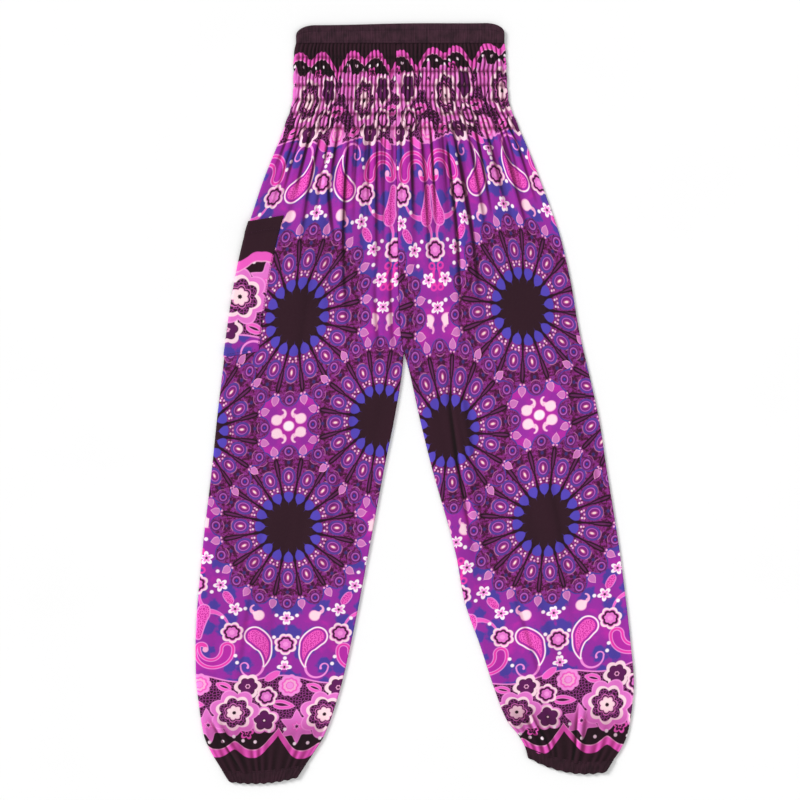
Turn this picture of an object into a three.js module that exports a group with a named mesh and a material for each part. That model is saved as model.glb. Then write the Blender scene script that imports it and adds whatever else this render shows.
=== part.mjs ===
// Harem trousers with a shirred waist and gathered ankles, laid flat with the front up.
// Lengths are in millimetres: +X to the right, +Y towards the waist, +Z up. The origin is on the
// surface that the trousers lie on, under the middle of their outline.
import * as THREE from "three";

const { abs, cos, max, min, PI, sin, sqrt } = Math;

// Driving sizes
const garmentLength = 996; // waist edge to the lowest point of a hem
const seamGap = 0.3; // between two pieces where they are sewn together
const clothWall = 1.2; // one layer of the leg's cloth
const foldGap = 1.6; // between the two layers inside a side fold and beside the elastics
const layGap = 0.5; // between the two layers where the front lies on the back
const foldEase = 26; // how far in from a side fold the front comes down to the back
const crotch = 431; // where the two legs part, below the waist edge
const curlReach = 26; // over which the inner ends below the crotch curl shut into a tube

// Waist: elastic in a turned top edge, then cloth gathered on rows of elastic thread
const casingWall = 2.6; // the cloth twice, with the elastic between
const casingGap = 0.6;
const casingHeight = 27;
const casingLeft = -155.5;
const casingRight = 117.5;
const cornerAcross = 26; // size of the rounded top corners in plan
const cornerDown = 14;
const cornerPlaces = [0, 0.01, 0.025, 0.045, 0.07, 0.095]; // columns at a corner, as shares of the width
const casingLean = 3.5; // the top edge lies this much lower at the left
const casingRibs = 24;
const casingRibHeight = 0.5;
const casingPlain = 0.1; // share of the width without ribs at each end
const shirringEnd = 138; // the lowest row of elastic thread, below the waist edge
const shirringBands = 6; // bands of cloth between the rows of thread
const shirringRibs = 18; // gathers over the front of each leg
const shirringHeight = 1.7;
const pinched = 0.35; // share of a gather's height that is left on a row of thread
const shirringFade = 13; // over which the gathers run out below the last row
const shirringInset = 8; // over which they start beside the seam and the side fold

// Ankles: a turned hem over its elastic
const ankleWall = 2.0;
const ankleGap = 0.6;
const ankleGathers = 10; // gathers over the front of the hem and of the leg above it
const ankleRibHeight = 0.9;
const ankleGatherHeight = 1.8;
const ankleReach = 68; // how far up the leg the gathers run
const hemFlattening = 0.6; // share of a gather's height that is left at the hem's edge

// Patch pocket, wrapped round the side fold of the leg at the left
const pocketWall = 1.2;
const pocketTop = 260; // below the waist edge, at the side fold
const pocketBottom = 438;
const pocketFront = 45; // how far it reaches over the front
const pocketBack = 80; // and round on the back
const pocketSlope = 0.17; // its edges climb this much for each mm towards the front
const pocketHem = 17; // the turned top edge
const pocketHemRaise = 0.7;
const pocketEase = 20; // over which the cloth around it comes down again
const hemStep = 1.2; // the step from its raised hem to its plain cloth
const skewEase = 40; // over which the rows above and below turn level again
const skewFade = 60; // and those beside it

const foldInset = 10; // over which folds and gathers start beside the seam and the side fold
const insetStart = 0.2; // share of such an inset that stays plain
const foldOnset = 1 / 7; // share of a gathered fold's length over which it rises
const halfStep = 0.5; // half the distance over which the front's slope is taken

const endSteps = 2; // steps of each inner end
const foldSteps = 4; // steps round a side fold
const ribSteps = 3; // steps across one gather

// The centre seam that joins the two legs. down: below the waist edge.
const centreSeam = [
  { down: 0, x: -24.5 },
  { down: 166, x: -24 },
  { down: 284, x: -22 },
  { down: 343, x: -21 },
  { down: 402, x: -18.5 },
  { down: 431, x: -14 },
];

// Each leg's outline, as x at a distance down from the waist edge. hang: for a row whose inner end is
// that far down, tilt is how much lower its outer end lies and bow how much lower its middle is.
const leftLeg = {
  ankle: 971,
  side: [
    { down: 27, x: -155.5 },
    { down: 48, x: -158 },
    { down: 88, x: -158.5 },
    { down: 107, x: -160.5 },
    { down: 127, x: -167 },
    { down: 166, x: -182 },
    { down: 206, x: -198 },
    { down: 245, x: -211 },
    { down: 284, x: -223 },
    { down: 343, x: -235.5 },
    { down: 402, x: -244.5 },
    { down: 461, x: -252 },
    { down: 520, x: -259 },
    { down: 579, x: -265 },
    { down: 697, x: -278.5 },
    { down: 815, x: -287 },
    { down: 854, x: -286.5 },
    { down: 893, x: -282.5 },
    { down: 933, x: -276 },
    { down: 952, x: -268 },
    { down: 979, x: -252 },
    { down: 993, x: -243.5 },
  ],
  inseam: [
    { down: 431, x: -14 },
    { down: 461, x: -17 },
    { down: 520, x: -27 },
    { down: 579, x: -39 },
    { down: 697, x: -61 },
    { down: 815, x: -84 },
    { down: 874, x: -98 },
    { down: 933, x: -118.5 },
    { down: 952, x: -130 },
    { down: 971, x: -142.5 },
    { down: 988, x: -154 },
  ],
  hang: [
    { down: 850, tilt: 0, bow: 0 },
    { down: 913, tilt: 2, bow: 1 },
    { down: 952, tilt: 6, bow: 3 },
    { down: 971, tilt: 8, bow: 4 },
    { down: 988, tilt: 5.5, bow: 5 },
  ],
};
const rightLeg = {
  ankle: 947,
  side: [
    { down: 27, x: 117.5 },
    { down: 48, x: 119 },
    { down: 88, x: 121 },
    { down: 107, x: 123.5 },
    { down: 127, x: 131.5 },
    { down: 166, x: 148.5 },
    { down: 206, x: 164 },
    { down: 245, x: 178.5 },
    { down: 284, x: 191.5 },
    { down: 343, x: 205 },
    { down: 402, x: 215 },
    { down: 461, x: 228.5 },
    { down: 520, x: 241.5 },
    { down: 579, x: 250.5 },
    { down: 697, x: 269 },
    { down: 815, x: 283 },
    { down: 864, x: 287 },
    { down: 893, x: 285 },
    { down: 933, x: 278 },
    { down: 952, x: 269 },
    { down: 966, x: 259.5 },
    { down: 981, x: 250.5 },
  ],
  inseam: [
    { down: 431, x: -14 },
    { down: 461, x: -6 },
    { down: 520, x: 7 },
    { down: 579, x: 21.5 },
    { down: 697, x: 54 },
    { down: 756, x: 65 },
    { down: 815, x: 85.5 },
    { down: 874, x: 105 },
    { down: 913, x: 120.5 },
    { down: 933, x: 136 },
    { down: 947, x: 144 },
    { down: 962, x: 148.5 },
  ],
  hang: [
    { down: 756, tilt: 0, bow: 0 },
    { down: 815, tilt: 3, bow: 0 },
    { down: 854, tilt: 8, bow: 1 },
    { down: 893, tilt: 13, bow: 4 },
    { down: 947, tilt: 18.5, bow: 9 },
    { down: 962, tilt: 18.5, bow: 10 },
  ],
};

// Folds of each leg's front. from, to: the shares of the width, from the inner edge, where a fold
// starts and ends. top, low: how far down. height, width: of its ridge, half of it each way.
// gathered: 1 if it springs from the last row of elastic thread, 0 if it fades out at both ends.
const leftFolds = [
  { from: 0.07, to: 0.06, top: 138, low: 300, height: 2.8, width: 7, gathered: 1 },
  { from: 0.19, to: 0.16, top: 138, low: 350, height: 3.6, width: 8, gathered: 1 },
  { from: 0.31, to: 0.26, top: 138, low: 270, height: 2.8, width: 7, gathered: 1 },
  { from: 0.44, to: 0.33, top: 138, low: 420, height: 4.4, width: 9, gathered: 1 },
  { from: 0.56, to: 0.52, top: 138, low: 280, height: 3.0, width: 8, gathered: 1 },
  { from: 0.69, to: 0.65, top: 138, low: 320, height: 3.6, width: 8, gathered: 1 },
  { from: 0.81, to: 0.78, top: 138, low: 245, height: 2.8, width: 7, gathered: 1 },
  { from: 0.92, to: 0.88, top: 138, low: 230, height: 2.2, width: 6, gathered: 1 },
  { from: 0.12, to: 0.1, top: 300, low: 470, height: 1.8, width: 12, gathered: 0 },
  { from: 0.3, to: 0.34, top: 470, low: 760, height: 1.6, width: 24, gathered: 0 },
  { from: 0.6, to: 0.66, top: 620, low: 930, height: 1.7, width: 22, gathered: 0 },
];
const rightFolds = [
  { from: 0.06, to: 0.05, top: 138, low: 260, height: 2.6, width: 7, gathered: 1 },
  { from: 0.18, to: 0.15, top: 138, low: 330, height: 3.4, width: 8, gathered: 1 },
  { from: 0.3, to: 0.26, top: 138, low: 290, height: 3.2, width: 7, gathered: 1 },
  { from: 0.42, to: 0.36, top: 138, low: 440, height: 5.2, width: 10, gathered: 1 },
  { from: 0.55, to: 0.51, top: 138, low: 300, height: 3.2, width: 8, gathered: 1 },
  { from: 0.67, to: 0.63, top: 138, low: 260, height: 3.0, width: 8, gathered: 1 },
  { from: 0.8, to: 0.77, top: 138, low: 310, height: 3.4, width: 8, gathered: 1 },
  { from: 0.91, to: 0.87, top: 138, low: 240, height: 2.4, width: 6, gathered: 1 },
  { from: 0.24, to: 0.13, top: 430, low: 700, height: 3.4, width: 13, gathered: 0 },
  { from: 0.62, to: 0.58, top: 480, low: 800, height: 1.6, width: 24, gathered: 0 },
  { from: 0.35, to: 0.42, top: 700, low: 920, height: 1.8, width: 20, gathered: 0 },
];

// Bands of rows down a leg. to: where a band ends. rows: how many. across: steps over the front's
// outer face. inside: over its inner face. strips: has columns at set distances from the side fold.
const legBands = (ankle) => [
  { to: shirringEnd, rows: shirringBands * 2, across: shirringRibs * ribSteps, inside: 10, strips: false },
  { to: 190, rows: 4, across: 36, inside: 36, strips: false },
  { to: pocketTop - pocketEase, rows: 3, across: 26, inside: 26, strips: true },
  { to: pocketTop, rows: 1, across: 22, inside: 22, strips: true },
  { to: pocketTop + pocketHem, rows: 1, across: 22, inside: 22, strips: true },
  { to: pocketTop + pocketHem + hemStep, rows: 1, across: 22, inside: 22, strips: true },
  { to: crotch, rows: 5, across: 18, inside: 18, strips: true },
  { to: pocketBottom, rows: 1, across: 16, inside: 16, strips: true },
  { to: pocketBottom + pocketEase, rows: 1, across: 14, inside: 14, strips: true },
  { to: ankle - ankleReach, rows: 8, across: 12, inside: 12, strips: true },
  { to: ankle, rows: 5, across: ankleGathers * ribSteps, inside: ankleGathers * ribSteps, strips: false },
];
const frontStrip = [pocketFront, 30, 15]; // columns over the front, from the side fold inwards
const backStrip = [15, 45, pocketBack, pocketBack + pocketEase]; // and under the back
const stripWidth = 190; // a leg narrower than this draws its strips in
const backSteps = 3; // steps over the rest of the back
const casingRows = [0, 0.33, 0.67, 1]; // rows down the waist casing and the ankle casings
const ankleRows = [0, 0.3, 0.65, 1];
const lastMark = 100; // the order of a column that comes after all others
const nearly = 0.001; // play in the test of a row or a column against its size

const mix = (a, b, t) => a + (b - a) * t;
const clamp = (t) => max(0, min(1, t));
const smooth = (t) => clamp(t) ** 2 * (3 - 2 * clamp(t));
const ridge = (x) => (abs(x) < 1 ? (1 + cos(PI * x)) / 2 : 0);
const gather = (turns) => 0.5 - 0.5 * cos(2 * PI * turns);
const steps = (count) => Array.from({ length: count + 1 }, (_, i) => i / count);

// A smooth curve through one column of a table that never overshoots its rows.
function curve(table, key) {
  const slopes = table.slice(1).map((row, i) => (row[key] - table[i][key]) / (row.down - table[i].down));
  const bends = table.map((_, i) => {
    const before = slopes[i - 1] ?? slopes[i];
    const after = slopes[i] ?? slopes[i - 1];
    return before * after > 0 ? (2 * before * after) / (before + after) : 0;
  });
  return (down) => {
    const i = table.slice(1, -1).filter((row) => row.down <= down).length;
    const length = table[i + 1].down - table[i].down;
    const t = clamp((down - table[i].down) / length);
    return (
      table[i][key] * (1 + 2 * t) * (1 - t) ** 2 +
      table[i + 1][key] * t * t * (3 - 2 * t) +
      length * t * (1 - t) * (bends[i] * (1 - t) - bends[i + 1] * t)
    );
  };
}

// A leg's plan: its width along a row, and the place of a point on that row.
function planOf(leg) {
  const seam = curve(centreSeam, "x");
  const inseam = curve(leg.inseam, "x");
  const side = curve(leg.side, "x");
  const tilt = curve(leg.hang, "tilt");
  const bow = curve(leg.hang, "bow");
  const inner = (down) => (down < crotch ? seam(down) : inseam(down));
  const outer = (down) => side(down + tilt(down));
  return {
    width: (down) => abs(outer(down) - inner(down)),
    place: (down, share, z) => {
      const hang = tilt(down) * share + 4 * bow(down) * share * (1 - share);
      return new THREE.Vector3(mix(inner(down), outer(down), share), garmentLength / 2 - down - hang, z);
    },
  };
}

// The rise of the front's middle line in its folds.
function foldRelief(folds, p, down, width) {
  return folds.reduce((sum, fold) => {
    const t = (down - fold.top) / (fold.low - fold.top);
    if (t < 0 || t > 1) return sum;
    const held = fold.gathered ? smooth(t / foldOnset) * (1 - t * t) : sin(PI * t);
    const across = p - mix(fold.from, fold.to, t) * width;
    return sum + fold.height * held * ridge(across / (fold.width * (1 + fold.gathered * t)));
  }, 0);
}

// How much the cloth over the pocket's back half is lifted, fromFold in from the side fold.
function pocketLift(fromFold, down) {
  const across = 1 - smooth((fromFold - pocketBack) / pocketEase);
  const along = smooth((down - pocketTop) / pocketEase + 1) * smooth((pocketBottom - down) / pocketEase + 1);
  return (pocketWall + seamGap) * across * along;
}

// How much higher a point lies than its row, so that the rows run along the pocket's edges.
function pocketSkew(over, down) {
  const beyond = max(over - pocketFront, -pocketBack - over, 0);
  const above = smooth((down - pocketTop) / skewEase + 1.5);
  const below = smooth((pocketBottom - down) / skewEase + 1.5);
  const reach = max(-pocketBack, min(pocketFront, over));
  return pocketSlope * reach * (1 - smooth(beyond / skewFade)) * above * below;
}

// The middle line of a leg's cloth along one row: from the centre-front seam over the front, round
// the side fold and underneath to the centre-back seam. Below the crotch its two ends curl together
// along the inseam. Each point has p, its distance from the inner edge, its height z, its outward
// normal [np, nz], over, its distance from the side fold, and mark, its order along the row.
function legSection({ leg, folds, hasPocket, width, down }, across, strips) {
  const lift = (p) => (hasPocket ? pocketLift(width - p, down) : 0);
  const held = 1 - smooth((down - shirringEnd) / ankleReach) + smooth((down - leg.ankle) / ankleReach + 1);
  const pulled = smooth((down - leg.ankle) / ankleReach + 1) ** 2;
  const radius = (clothWall + foldGap) / 2;
  const reach = radius + clothWall / 2;
  const back = (p) => clothWall / 2 + lift(p);
  const front = (p) => {
    const inward = min(p, width - p);
    const gap = mix(foldGap, layGap, smooth(inward / foldEase) * (1 - held));
    const turns = clamp((p - reach) / (width - 2 * reach)) * ankleGathers;
    const relief = foldRelief(folds, p, down, width) + ankleGatherHeight * pulled * gather(turns);
    return clothWall * 1.5 + gap + lift(p) + relief * smooth(inward / foldInset - insetStart);
  };
  const over = (p, mark) => {
    const rise = (front(p + halfStep) - front(p - halfStep)) / (2 * halfStep);
    const length = sqrt(1 + rise * rise);
    return { p, z: front(p), np: -rise / length, nz: 1 / length, over: width - p, mark };
  };
  const under = (p, mark) => ({ p, z: back(p), np: 0, nz: -1, over: p - width, mark });
  const turn = (t, mark) => {
    const np = cos(PI * (0.5 - t));
    const nz = sin(PI * (0.5 - t));
    const p = width - reach + radius * np;
    return { p, z: back(width) + radius * (1 + nz), np, nz, over: reach * nz, mark };
  };
  const curl = smooth((down - crotch) / curlReach);
  const innerEnd = (side, t, mark) => {
    const flat = side > 0 ? over(reach, mark) : under(reach, mark);
    const turned = t * (PI / 2 - seamGap / 2 / radius);
    const np = mix(0, -sin(turned), curl);
    const nz = mix(side, side * cos(turned), curl);
    const length = sqrt(np * np + nz * nz);
    const p = mix(reach * (1 - t) + (seamGap / 2) * t, reach - radius * sin(turned), curl);
    const z = mix(flat.z, back(0) + radius * (1 + side * cos(turned)), curl);
    return { ...flat, p, z, np: np / length, nz: nz / length };
  };

  const drawn = min(1, width / stripWidth);
  const strip = [...frontStrip.map((d) => width - d * drawn), width - reach];
  const markOf = (p) => {
    const i = max(1, strip.findIndex((end) => end >= p - 1e-6));
    const inStrip = i - 1 + (p - strip[i - 1]) / (strip[i] - strip[i - 1]);
    return p < strip[0] ? 1 + (p - reach) / (strip[0] - reach) : 2 + inStrip / (strip.length - 1);
  };
  const frontPlaces = strips
    ? [...steps(across).map((t) => mix(reach, strip[0], t)), ...strip.slice(1)]
    : steps(across).map((t) => mix(reach, width - reach, t));
  const backPlaces = [width - reach, ...backStrip.map((d) => width - d * drawn)];
  return [
    ...steps(endSteps).slice(1).reverse().map((t) => innerEnd(1, t, 1 - t)),
    ...frontPlaces.map((p) => over(p, markOf(p))),
    ...steps(foldSteps).slice(1, -1).map((t) => turn(t, 3 + t)),
    ...backPlaces.map((p, i) => under(p, 4 + i / backStrip.length)),
    ...steps(backSteps).slice(1).map((t) => under(mix(backPlaces.at(-1), reach, t), 5 + t)),
    ...steps(endSteps).slice(1).map((t) => innerEnd(-1, t, 6 + t)),
  ];
}

// All rows of one leg, each with the middle lines of its outer and its inner face.
function legRows(leg, folds, hasPocket) {
  const plan = planOf(leg);
  const rows = [];
  let start = casingHeight + seamGap / 2;
  for (const band of legBands(leg.ankle - seamGap / 2)) {
    for (const t of steps(band.rows).slice(rows.length ? 1 : 0)) {
      const down = mix(start, band.to, t);
      const row = { leg, folds, hasPocket, down, width: plan.width(down) };
      row.outer = legSection(row, band.across, band.strips);
      row.inner = legSection(row, band.inside, band.strips);
      row.place = ({ p, z, np, nz, over }, away) => {
        const raised = hasPocket ? pocketSkew(over, down) : 0;
        return plan.place(down - raised, (p + np * away) / row.width, z + nz * away);
      };
      rows.push(row);
    }
    start = band.to;
  }
  return rows;
}

// Triangles between two rows of points, whose marks say which columns lie beside each other.
function stitch(a, b, faces) {
  let i = 0;
  let j = 0;
  while (i < a.length - 1 || j < b.length - 1) {
    const nextA = a[i + 1]?.mark ?? Infinity;
    const nextB = b[j + 1]?.mark ?? Infinity;
    if (nextA <= nextB) faces.push([a[i].index, b[j].index, a[++i].index]);
    else faces.push([a[i].index, b[j].index, b[++j].index]);
  }
}

// One closed wall from rows of outer and inner points. A ring's rows run all the way round, so its
// first column also comes last.
function wallGeometry(rows, isRing) {
  const points = [];
  const faces = [];
  const numbered = (row) => {
    const indexed = row.map(({ point, mark }) => ({ mark, index: points.push(point) - 1 }));
    return isRing ? [...indexed, { ...indexed[0], mark: lastMark }] : indexed;
  };
  const outer = rows.map((row) => numbered(row.outer));
  const inner = rows.map((row) => numbered(row.inner));
  for (let i = 0; i < rows.length - 1; i++) {
    stitch(outer[i], outer[i + 1], faces);
    stitch(inner[i + 1], inner[i], faces);
    if (isRing) continue;
    for (const [a, b, end] of [[i + 1, i, 0], [i, i + 1, -1]]) {
      const corners = [outer[a], outer[b], inner[b], inner[a]].map((row) => row.at(end).index);
      faces.push([corners[0], corners[1], corners[2]], [corners[0], corners[2], corners[3]]);
    }
  }
  stitch(inner[0], outer[0], faces);
  stitch(outer.at(-1), inner.at(-1), faces);

  const volume = faces.reduce((sum, [a, b, c]) => {
    return sum + points[a].dot(points[b].clone().cross(points[c]));
  }, 0);
  const outward = volume > 0 ? faces : faces.map(([a, b, c]) => [a, c, b]);
  const geometry = new THREE.BufferGeometry().setFromPoints(points);
  geometry.setIndex(outward.flat());
  geometry.computeVertexNormals();
  return geometry;
}

// A leg's wall. The shirring's gathers stand on its outer face alone, over a plain inside.
function legGeometry(rows) {
  const gathered = ({ nz, p }, { down, width }) => {
    const reach = clothWall + foldGap / 2;
    const turns = ((p - reach) / (width - 2 * reach)) * shirringRibs;
    const band = ((down - casingHeight) / (shirringEnd - casingHeight)) * shirringBands;
    const held = mix(pinched, 1, abs(sin(PI * band))) * (1 - smooth((down - shirringEnd) / shirringFade));
    const inward = smooth(min(p, width - p) / shirringInset - insetStart);
    return nz > 0 ? shirringHeight * held * gather(turns) * inward : 0;
  };
  const at = (row, s, away) => ({ mark: s.mark, point: row.place(s, away) });
  const walls = rows.map((row) => ({
    outer: row.outer.map((s) => at(row, s, clothWall / 2 + gathered(s, row))),
    inner: row.inner.map((s) => at(row, s, -clothWall / 2)),
  }));
  return wallGeometry(walls, false);
}

// The pocket is the leg's own points, moved out by the gap and by its own wall. Their marks run from
// 2 at its front edge, over the side fold, to 4.75 at its back edge.
function pocketGeometry(rows) {
  const covered = rows.filter(({ down }) => down > pocketTop - nearly && down < pocketBottom + nearly);
  const near = clothWall / 2 + seamGap;
  const isOver = (mark) => mark > 2 - nearly && mark < 4 + 3 / backStrip.length + nearly;
  const walls = covered.map(({ down, place, outer }) => {
    const columns = outer.filter(({ mark }) => isOver(mark));
    const hem = down < pocketTop + pocketHem + nearly ? pocketHemRaise : 0;
    const at = (s, away) => ({ mark: s.mark, point: place(s, away) });
    return {
      outer: columns.map((s) => at(s, near + pocketWall + (s.nz > 0.5 ? hem : 0))),
      inner: columns.map((s) => at(s, near)),
    };
  });
  return wallGeometry(walls, false);
}

// The middle line of a flattened ring, whose underside lies on the surface.
function ringSection(wall, gap, width, frontPlaces) {
  const radius = (wall + gap) / 2;
  const reach = radius + wall / 2;
  const at = (p, angle, mark) => {
    const np = cos(angle);
    const nz = sin(angle);
    return { p: p + radius * np, z: wall / 2 + radius * (1 + nz), np, nz, mark };
  };
  const arc = (p, start, mark) => steps(foldSteps).slice(1, -1).map((t) => at(p, start - PI * t, mark + t));
  const backPlaces = steps(backSteps * 2).map((t) => mix(width - reach, reach, t));
  return [
    ...frontPlaces.map((t) => at(mix(reach, width - reach, t), PI / 2, t)),
    ...arc(width - reach, PI / 2, 1),
    ...backPlaces.map((p, i) => at(p, -PI / 2, 2 + i / (backPlaces.length - 1))),
    ...arc(reach, -PI / 2, 3),
  ];
}

function casingGeometry() {
  const width = casingRight - casingLeft;
  const isRibbed = (t) => t > casingPlain && t < 1 - casingPlain;
  const even = steps(casingRibs * 2).filter(isRibbed);
  const places = [...cornerPlaces, ...even, ...cornerPlaces.map((t) => 1 - t).reverse()];
  const section = ringSection(casingWall, casingGap, width, places);
  const place = ({ p, z, np, nz }, away, v) => {
    const x = p + np * away;
    const inCorner = clamp(1 - min(x, width - x) / cornerAcross);
    const top = cornerDown * (1 - sqrt(1 - inCorner ** 2)) + casingLean * (1 - x / width);
    const down = mix(top, casingHeight - seamGap / 2, v);
    return new THREE.Vector3(casingLeft + x, garmentLength / 2 - down, z + nz * away);
  };
  const ribs = ({ mark }) => (isRibbed(mark) ? casingRibHeight * gather(mark * casingRibs) : 0);
  const at = (s, away, v) => ({ mark: s.mark, point: place(s, away, v) });
  const walls = casingRows.map((v) => ({
    outer: section.map((s) => at(s, casingWall / 2 + ribs(s) * min(1, v / casingRows[1]), v)),
    inner: section.map((s) => at(s, -casingWall / 2, v)),
  }));
  return wallGeometry(walls, true);
}

function ankleGeometry(leg) {
  const plan = planOf(leg);
  const hem = leg.inseam.at(-1).down;
  const walls = ankleRows.map((v) => {
    const down = mix(leg.ankle + seamGap / 2, hem, v);
    const width = plan.width(down);
    const section = ringSection(ankleWall, ankleGap, width, steps(ankleGathers * ribSteps));
    const height = ankleRibHeight * mix(1, hemFlattening, v);
    const ribs = ({ mark }) => (mark < 1 ? height * gather(mark * ankleGathers) : 0);
    const at = (s, away) => ({
      mark: s.mark,
      point: plan.place(down, (s.p + s.np * away) / width, s.z + s.nz * away),
    });
    return {
      outer: section.map((s) => at(s, ankleWall / 2 + ribs(s))),
      inner: section.map((s) => at(s, -ankleWall / 2)),
    };
  });
  return wallGeometry(walls, true);
}

function mesh(name, geometry, colour, roughness) {
  const made = new THREE.Mesh(
    geometry,
    new THREE.MeshStandardMaterial({ color: colour, roughness, metalness: 0 }),
  );
  made.name = name;
  return made;
}

const leftRows = legRows(leftLeg, leftFolds, true);
const rightRows = legRows(rightLeg, rightFolds, false);
const trousers = new THREE.Group();
trousers.name = "harem_trousers";
trousers.add(
  mesh("leg_left", legGeometry(leftRows), 0x86389c, 0.85),
  mesh("leg_right", legGeometry(rightRows), 0x86389c, 0.85),
  mesh("waist_casing", casingGeometry(), 0x46283c, 0.9),
  mesh("ankle_casing_left", ankleGeometry(leftLeg), 0x3a1c2e, 0.9),
  mesh("ankle_casing_right", ankleGeometry(rightLeg), 0x3a1c2e, 0.9),
  mesh("side_pocket", pocketGeometry(leftRows), 0x7a2f70, 0.85),
);
export default trousers;
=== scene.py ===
import math

import bmesh
import bpy
import numpy as np
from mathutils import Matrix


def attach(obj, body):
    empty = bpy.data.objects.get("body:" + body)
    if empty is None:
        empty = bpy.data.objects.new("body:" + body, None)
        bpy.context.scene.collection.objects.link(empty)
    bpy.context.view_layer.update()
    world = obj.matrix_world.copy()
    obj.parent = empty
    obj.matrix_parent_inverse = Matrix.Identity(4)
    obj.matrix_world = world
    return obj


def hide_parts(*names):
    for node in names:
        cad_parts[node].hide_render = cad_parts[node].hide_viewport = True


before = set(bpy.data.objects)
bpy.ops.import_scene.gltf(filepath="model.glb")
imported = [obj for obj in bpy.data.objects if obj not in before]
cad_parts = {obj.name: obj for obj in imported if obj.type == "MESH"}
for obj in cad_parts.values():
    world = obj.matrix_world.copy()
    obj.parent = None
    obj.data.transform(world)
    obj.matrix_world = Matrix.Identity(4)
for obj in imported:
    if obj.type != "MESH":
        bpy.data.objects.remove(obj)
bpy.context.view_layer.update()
print("frame loaded")

# Lengths in the tables are millimetres, and down is measured from the waist edge.
metres = 0.001
garmentLength = 996
printUnit = 1.31  # one unit of the print's own grid

# Camera straight above, top of the picture towards the waist
cameraPlace = {"x": -0.0193, "y": 0.0041, "height": 3.0, "view": 1.048}
camera = bpy.data.objects.new("camera", bpy.data.cameras.new("camera"))
bpy.context.collection.objects.link(camera)
camera.data.sensor_width = 36
camera.data.lens = 36 * cameraPlace["height"] / cameraPlace["view"]
camera.location = (cameraPlace["x"], cameraPlace["y"], cameraPlace["height"])
bpy.context.scene.camera = camera


def smooth(t):
    t = np.clip(t, 0, 1)
    return t * t * (3 - 2 * t)


def mix(a, b, t):
    return a + (b - a) * t


def ridge(x):
    return np.where(np.abs(x) < 1, 0.5 + 0.5 * np.cos(np.pi * x), 0)


def gather(turns):
    return 0.5 - 0.5 * np.cos(2 * np.pi * turns)


def named(columns, rows):
    return [dict(zip(columns.split(), row)) for row in rows]


def curveThrough(table):  # smooth, and never past its own points
    downs = np.array(list(table), float)
    values = np.array(list(table.values()), float)
    slopes = np.diff(values) / np.diff(downs)
    before = np.r_[slopes[0], slopes]
    after = np.r_[slopes, slopes[-1]]
    same = before * after > 0
    bends = np.where(same, 2 * before * after / np.where(same, before + after, 1), 0)

    def at(down):
        down = np.asarray(down, float)
        i = np.clip(np.searchsorted(downs, down, side="right") - 1, 0, len(downs) - 2)
        length = downs[i + 1] - downs[i]
        t = np.clip((down - downs[i]) / length, 0, 1)
        ends = values[i] * (1 + 2 * t) * (1 - t) ** 2 + values[i + 1] * t * t * (3 - 2 * t)
        return ends + length * t * (1 - t) * (bends[i] * (1 - t) - bends[i + 1] * t)

    return at


# The cloth of the legs, as the frame has it
cloth = {
    "wall": 1.2,
    "foldGap": 1.6,
    "layGap": 0.5,
    "foldEase": 26,
    "crotch": 431,
    "curlReach": 26,
    "casingHeight": 27,
    "shirringEnd": 138,
    "shirringBands": 6,
    "shirringGathers": 26,
    "shirringHeight": 2.2,
    "pinched": 0.35,
    "puff": 0.9,  # how far a side bulges between two rows of elastic thread
    "printJump": 0.7,
    "threadGroove": 0.55,
    "gatherShade": 0.22,  # painted shade: how much darker the colour is painted among the gathers
    # painted shade: how much darker the colour is painted over the last 70 mm above the ankle casing
    "hemShade": 0.3,
    "ankleReach": 68,
    "ankleGathers": 11,
    "ankleHeight": 1.0,
    "rollDown": 1.5,  # depth of the groove along the centre seam
}
shirringStep = (cloth["shirringEnd"] - cloth["casingHeight"]) / cloth["shirringBands"]
threadRows = [cloth["casingHeight"] + shirringStep * (i + 1) for i in range(cloth["shirringBands"])]
columns = {"front": 168, "arc": 8, "back": 56, "end": 4}
rowSpacing = {"shirring": 2.1, "leg": 3.1, "ankle": 2.3}

centreSeam = curveThrough({0: -24.5, 166: -24, 284: -22, 343: -21, 402: -18.5, 431: -14})

leftLeg = {
    "name": "left",
    "ankle": 971,
    "side": {27: -155.5, 48: -158, 88: -158.5, 107: -160.5, 127: -167, 166: -182, 206: -198, 245: -211,
             284: -223, 343: -235.5, 402: -244.5, 461: -252, 520: -259, 579: -265, 697: -278.5, 815: -287,
             854: -286.5, 893: -282.5, 933: -276, 952: -268, 979: -252, 993: -243.5},
    "inseam": {431: -14, 461: -17, 520: -27, 579: -39, 697: -61, 815: -84, 874: -98, 933: -118.5,
               952: -130, 971: -142.5, 988: -154},
    "tilt": {850: 0, 913: 2, 952: 6, 971: 8, 988: 5.5},
    "bow": {850: 0, 913: 1, 952: 3, 971: 4, 988: 5},
    # The print on this leg: its own middle line, what it shows at the seam and at the fold above
    # the crotch, how far a row of it drops per unit across, and its own height down the leg
    "printAxis": {0: -101, 101: -103.1, 172: -112.3, 208: -120.3, 249: -131, 384: -153.1, 528: -165,
                  660: -165, 814: -169, 921: -177.8, 996: -185},
    "printSeam": {0: 93, 101: 91, 210: 85, 290: 86, 384: 101, 996: 101},
    "printFold": {0: -69, 101: -70, 210: -69, 384: -66, 996: -66},
    "printTilt": {
        0: -0.03, 210: -0.03, 384: -0.02, 528: -0.075, 600: -0.03, 660: 0.02, 740: 0.005, 996: 0.02
    },
    "printRows": {0: -362, 38: -338, 68: -314, 102.8: -293.5, 209.2: -224, 385.7: -104, 528: 0, 660: 104,
                  814.8: 225, 1018: 380},
    "printStretch": {0: 1, 384: 1.01, 528: 1.085, 900: 1.075, 950: 1, 996: 0.98},
    "hasPocket": True,
}
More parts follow.
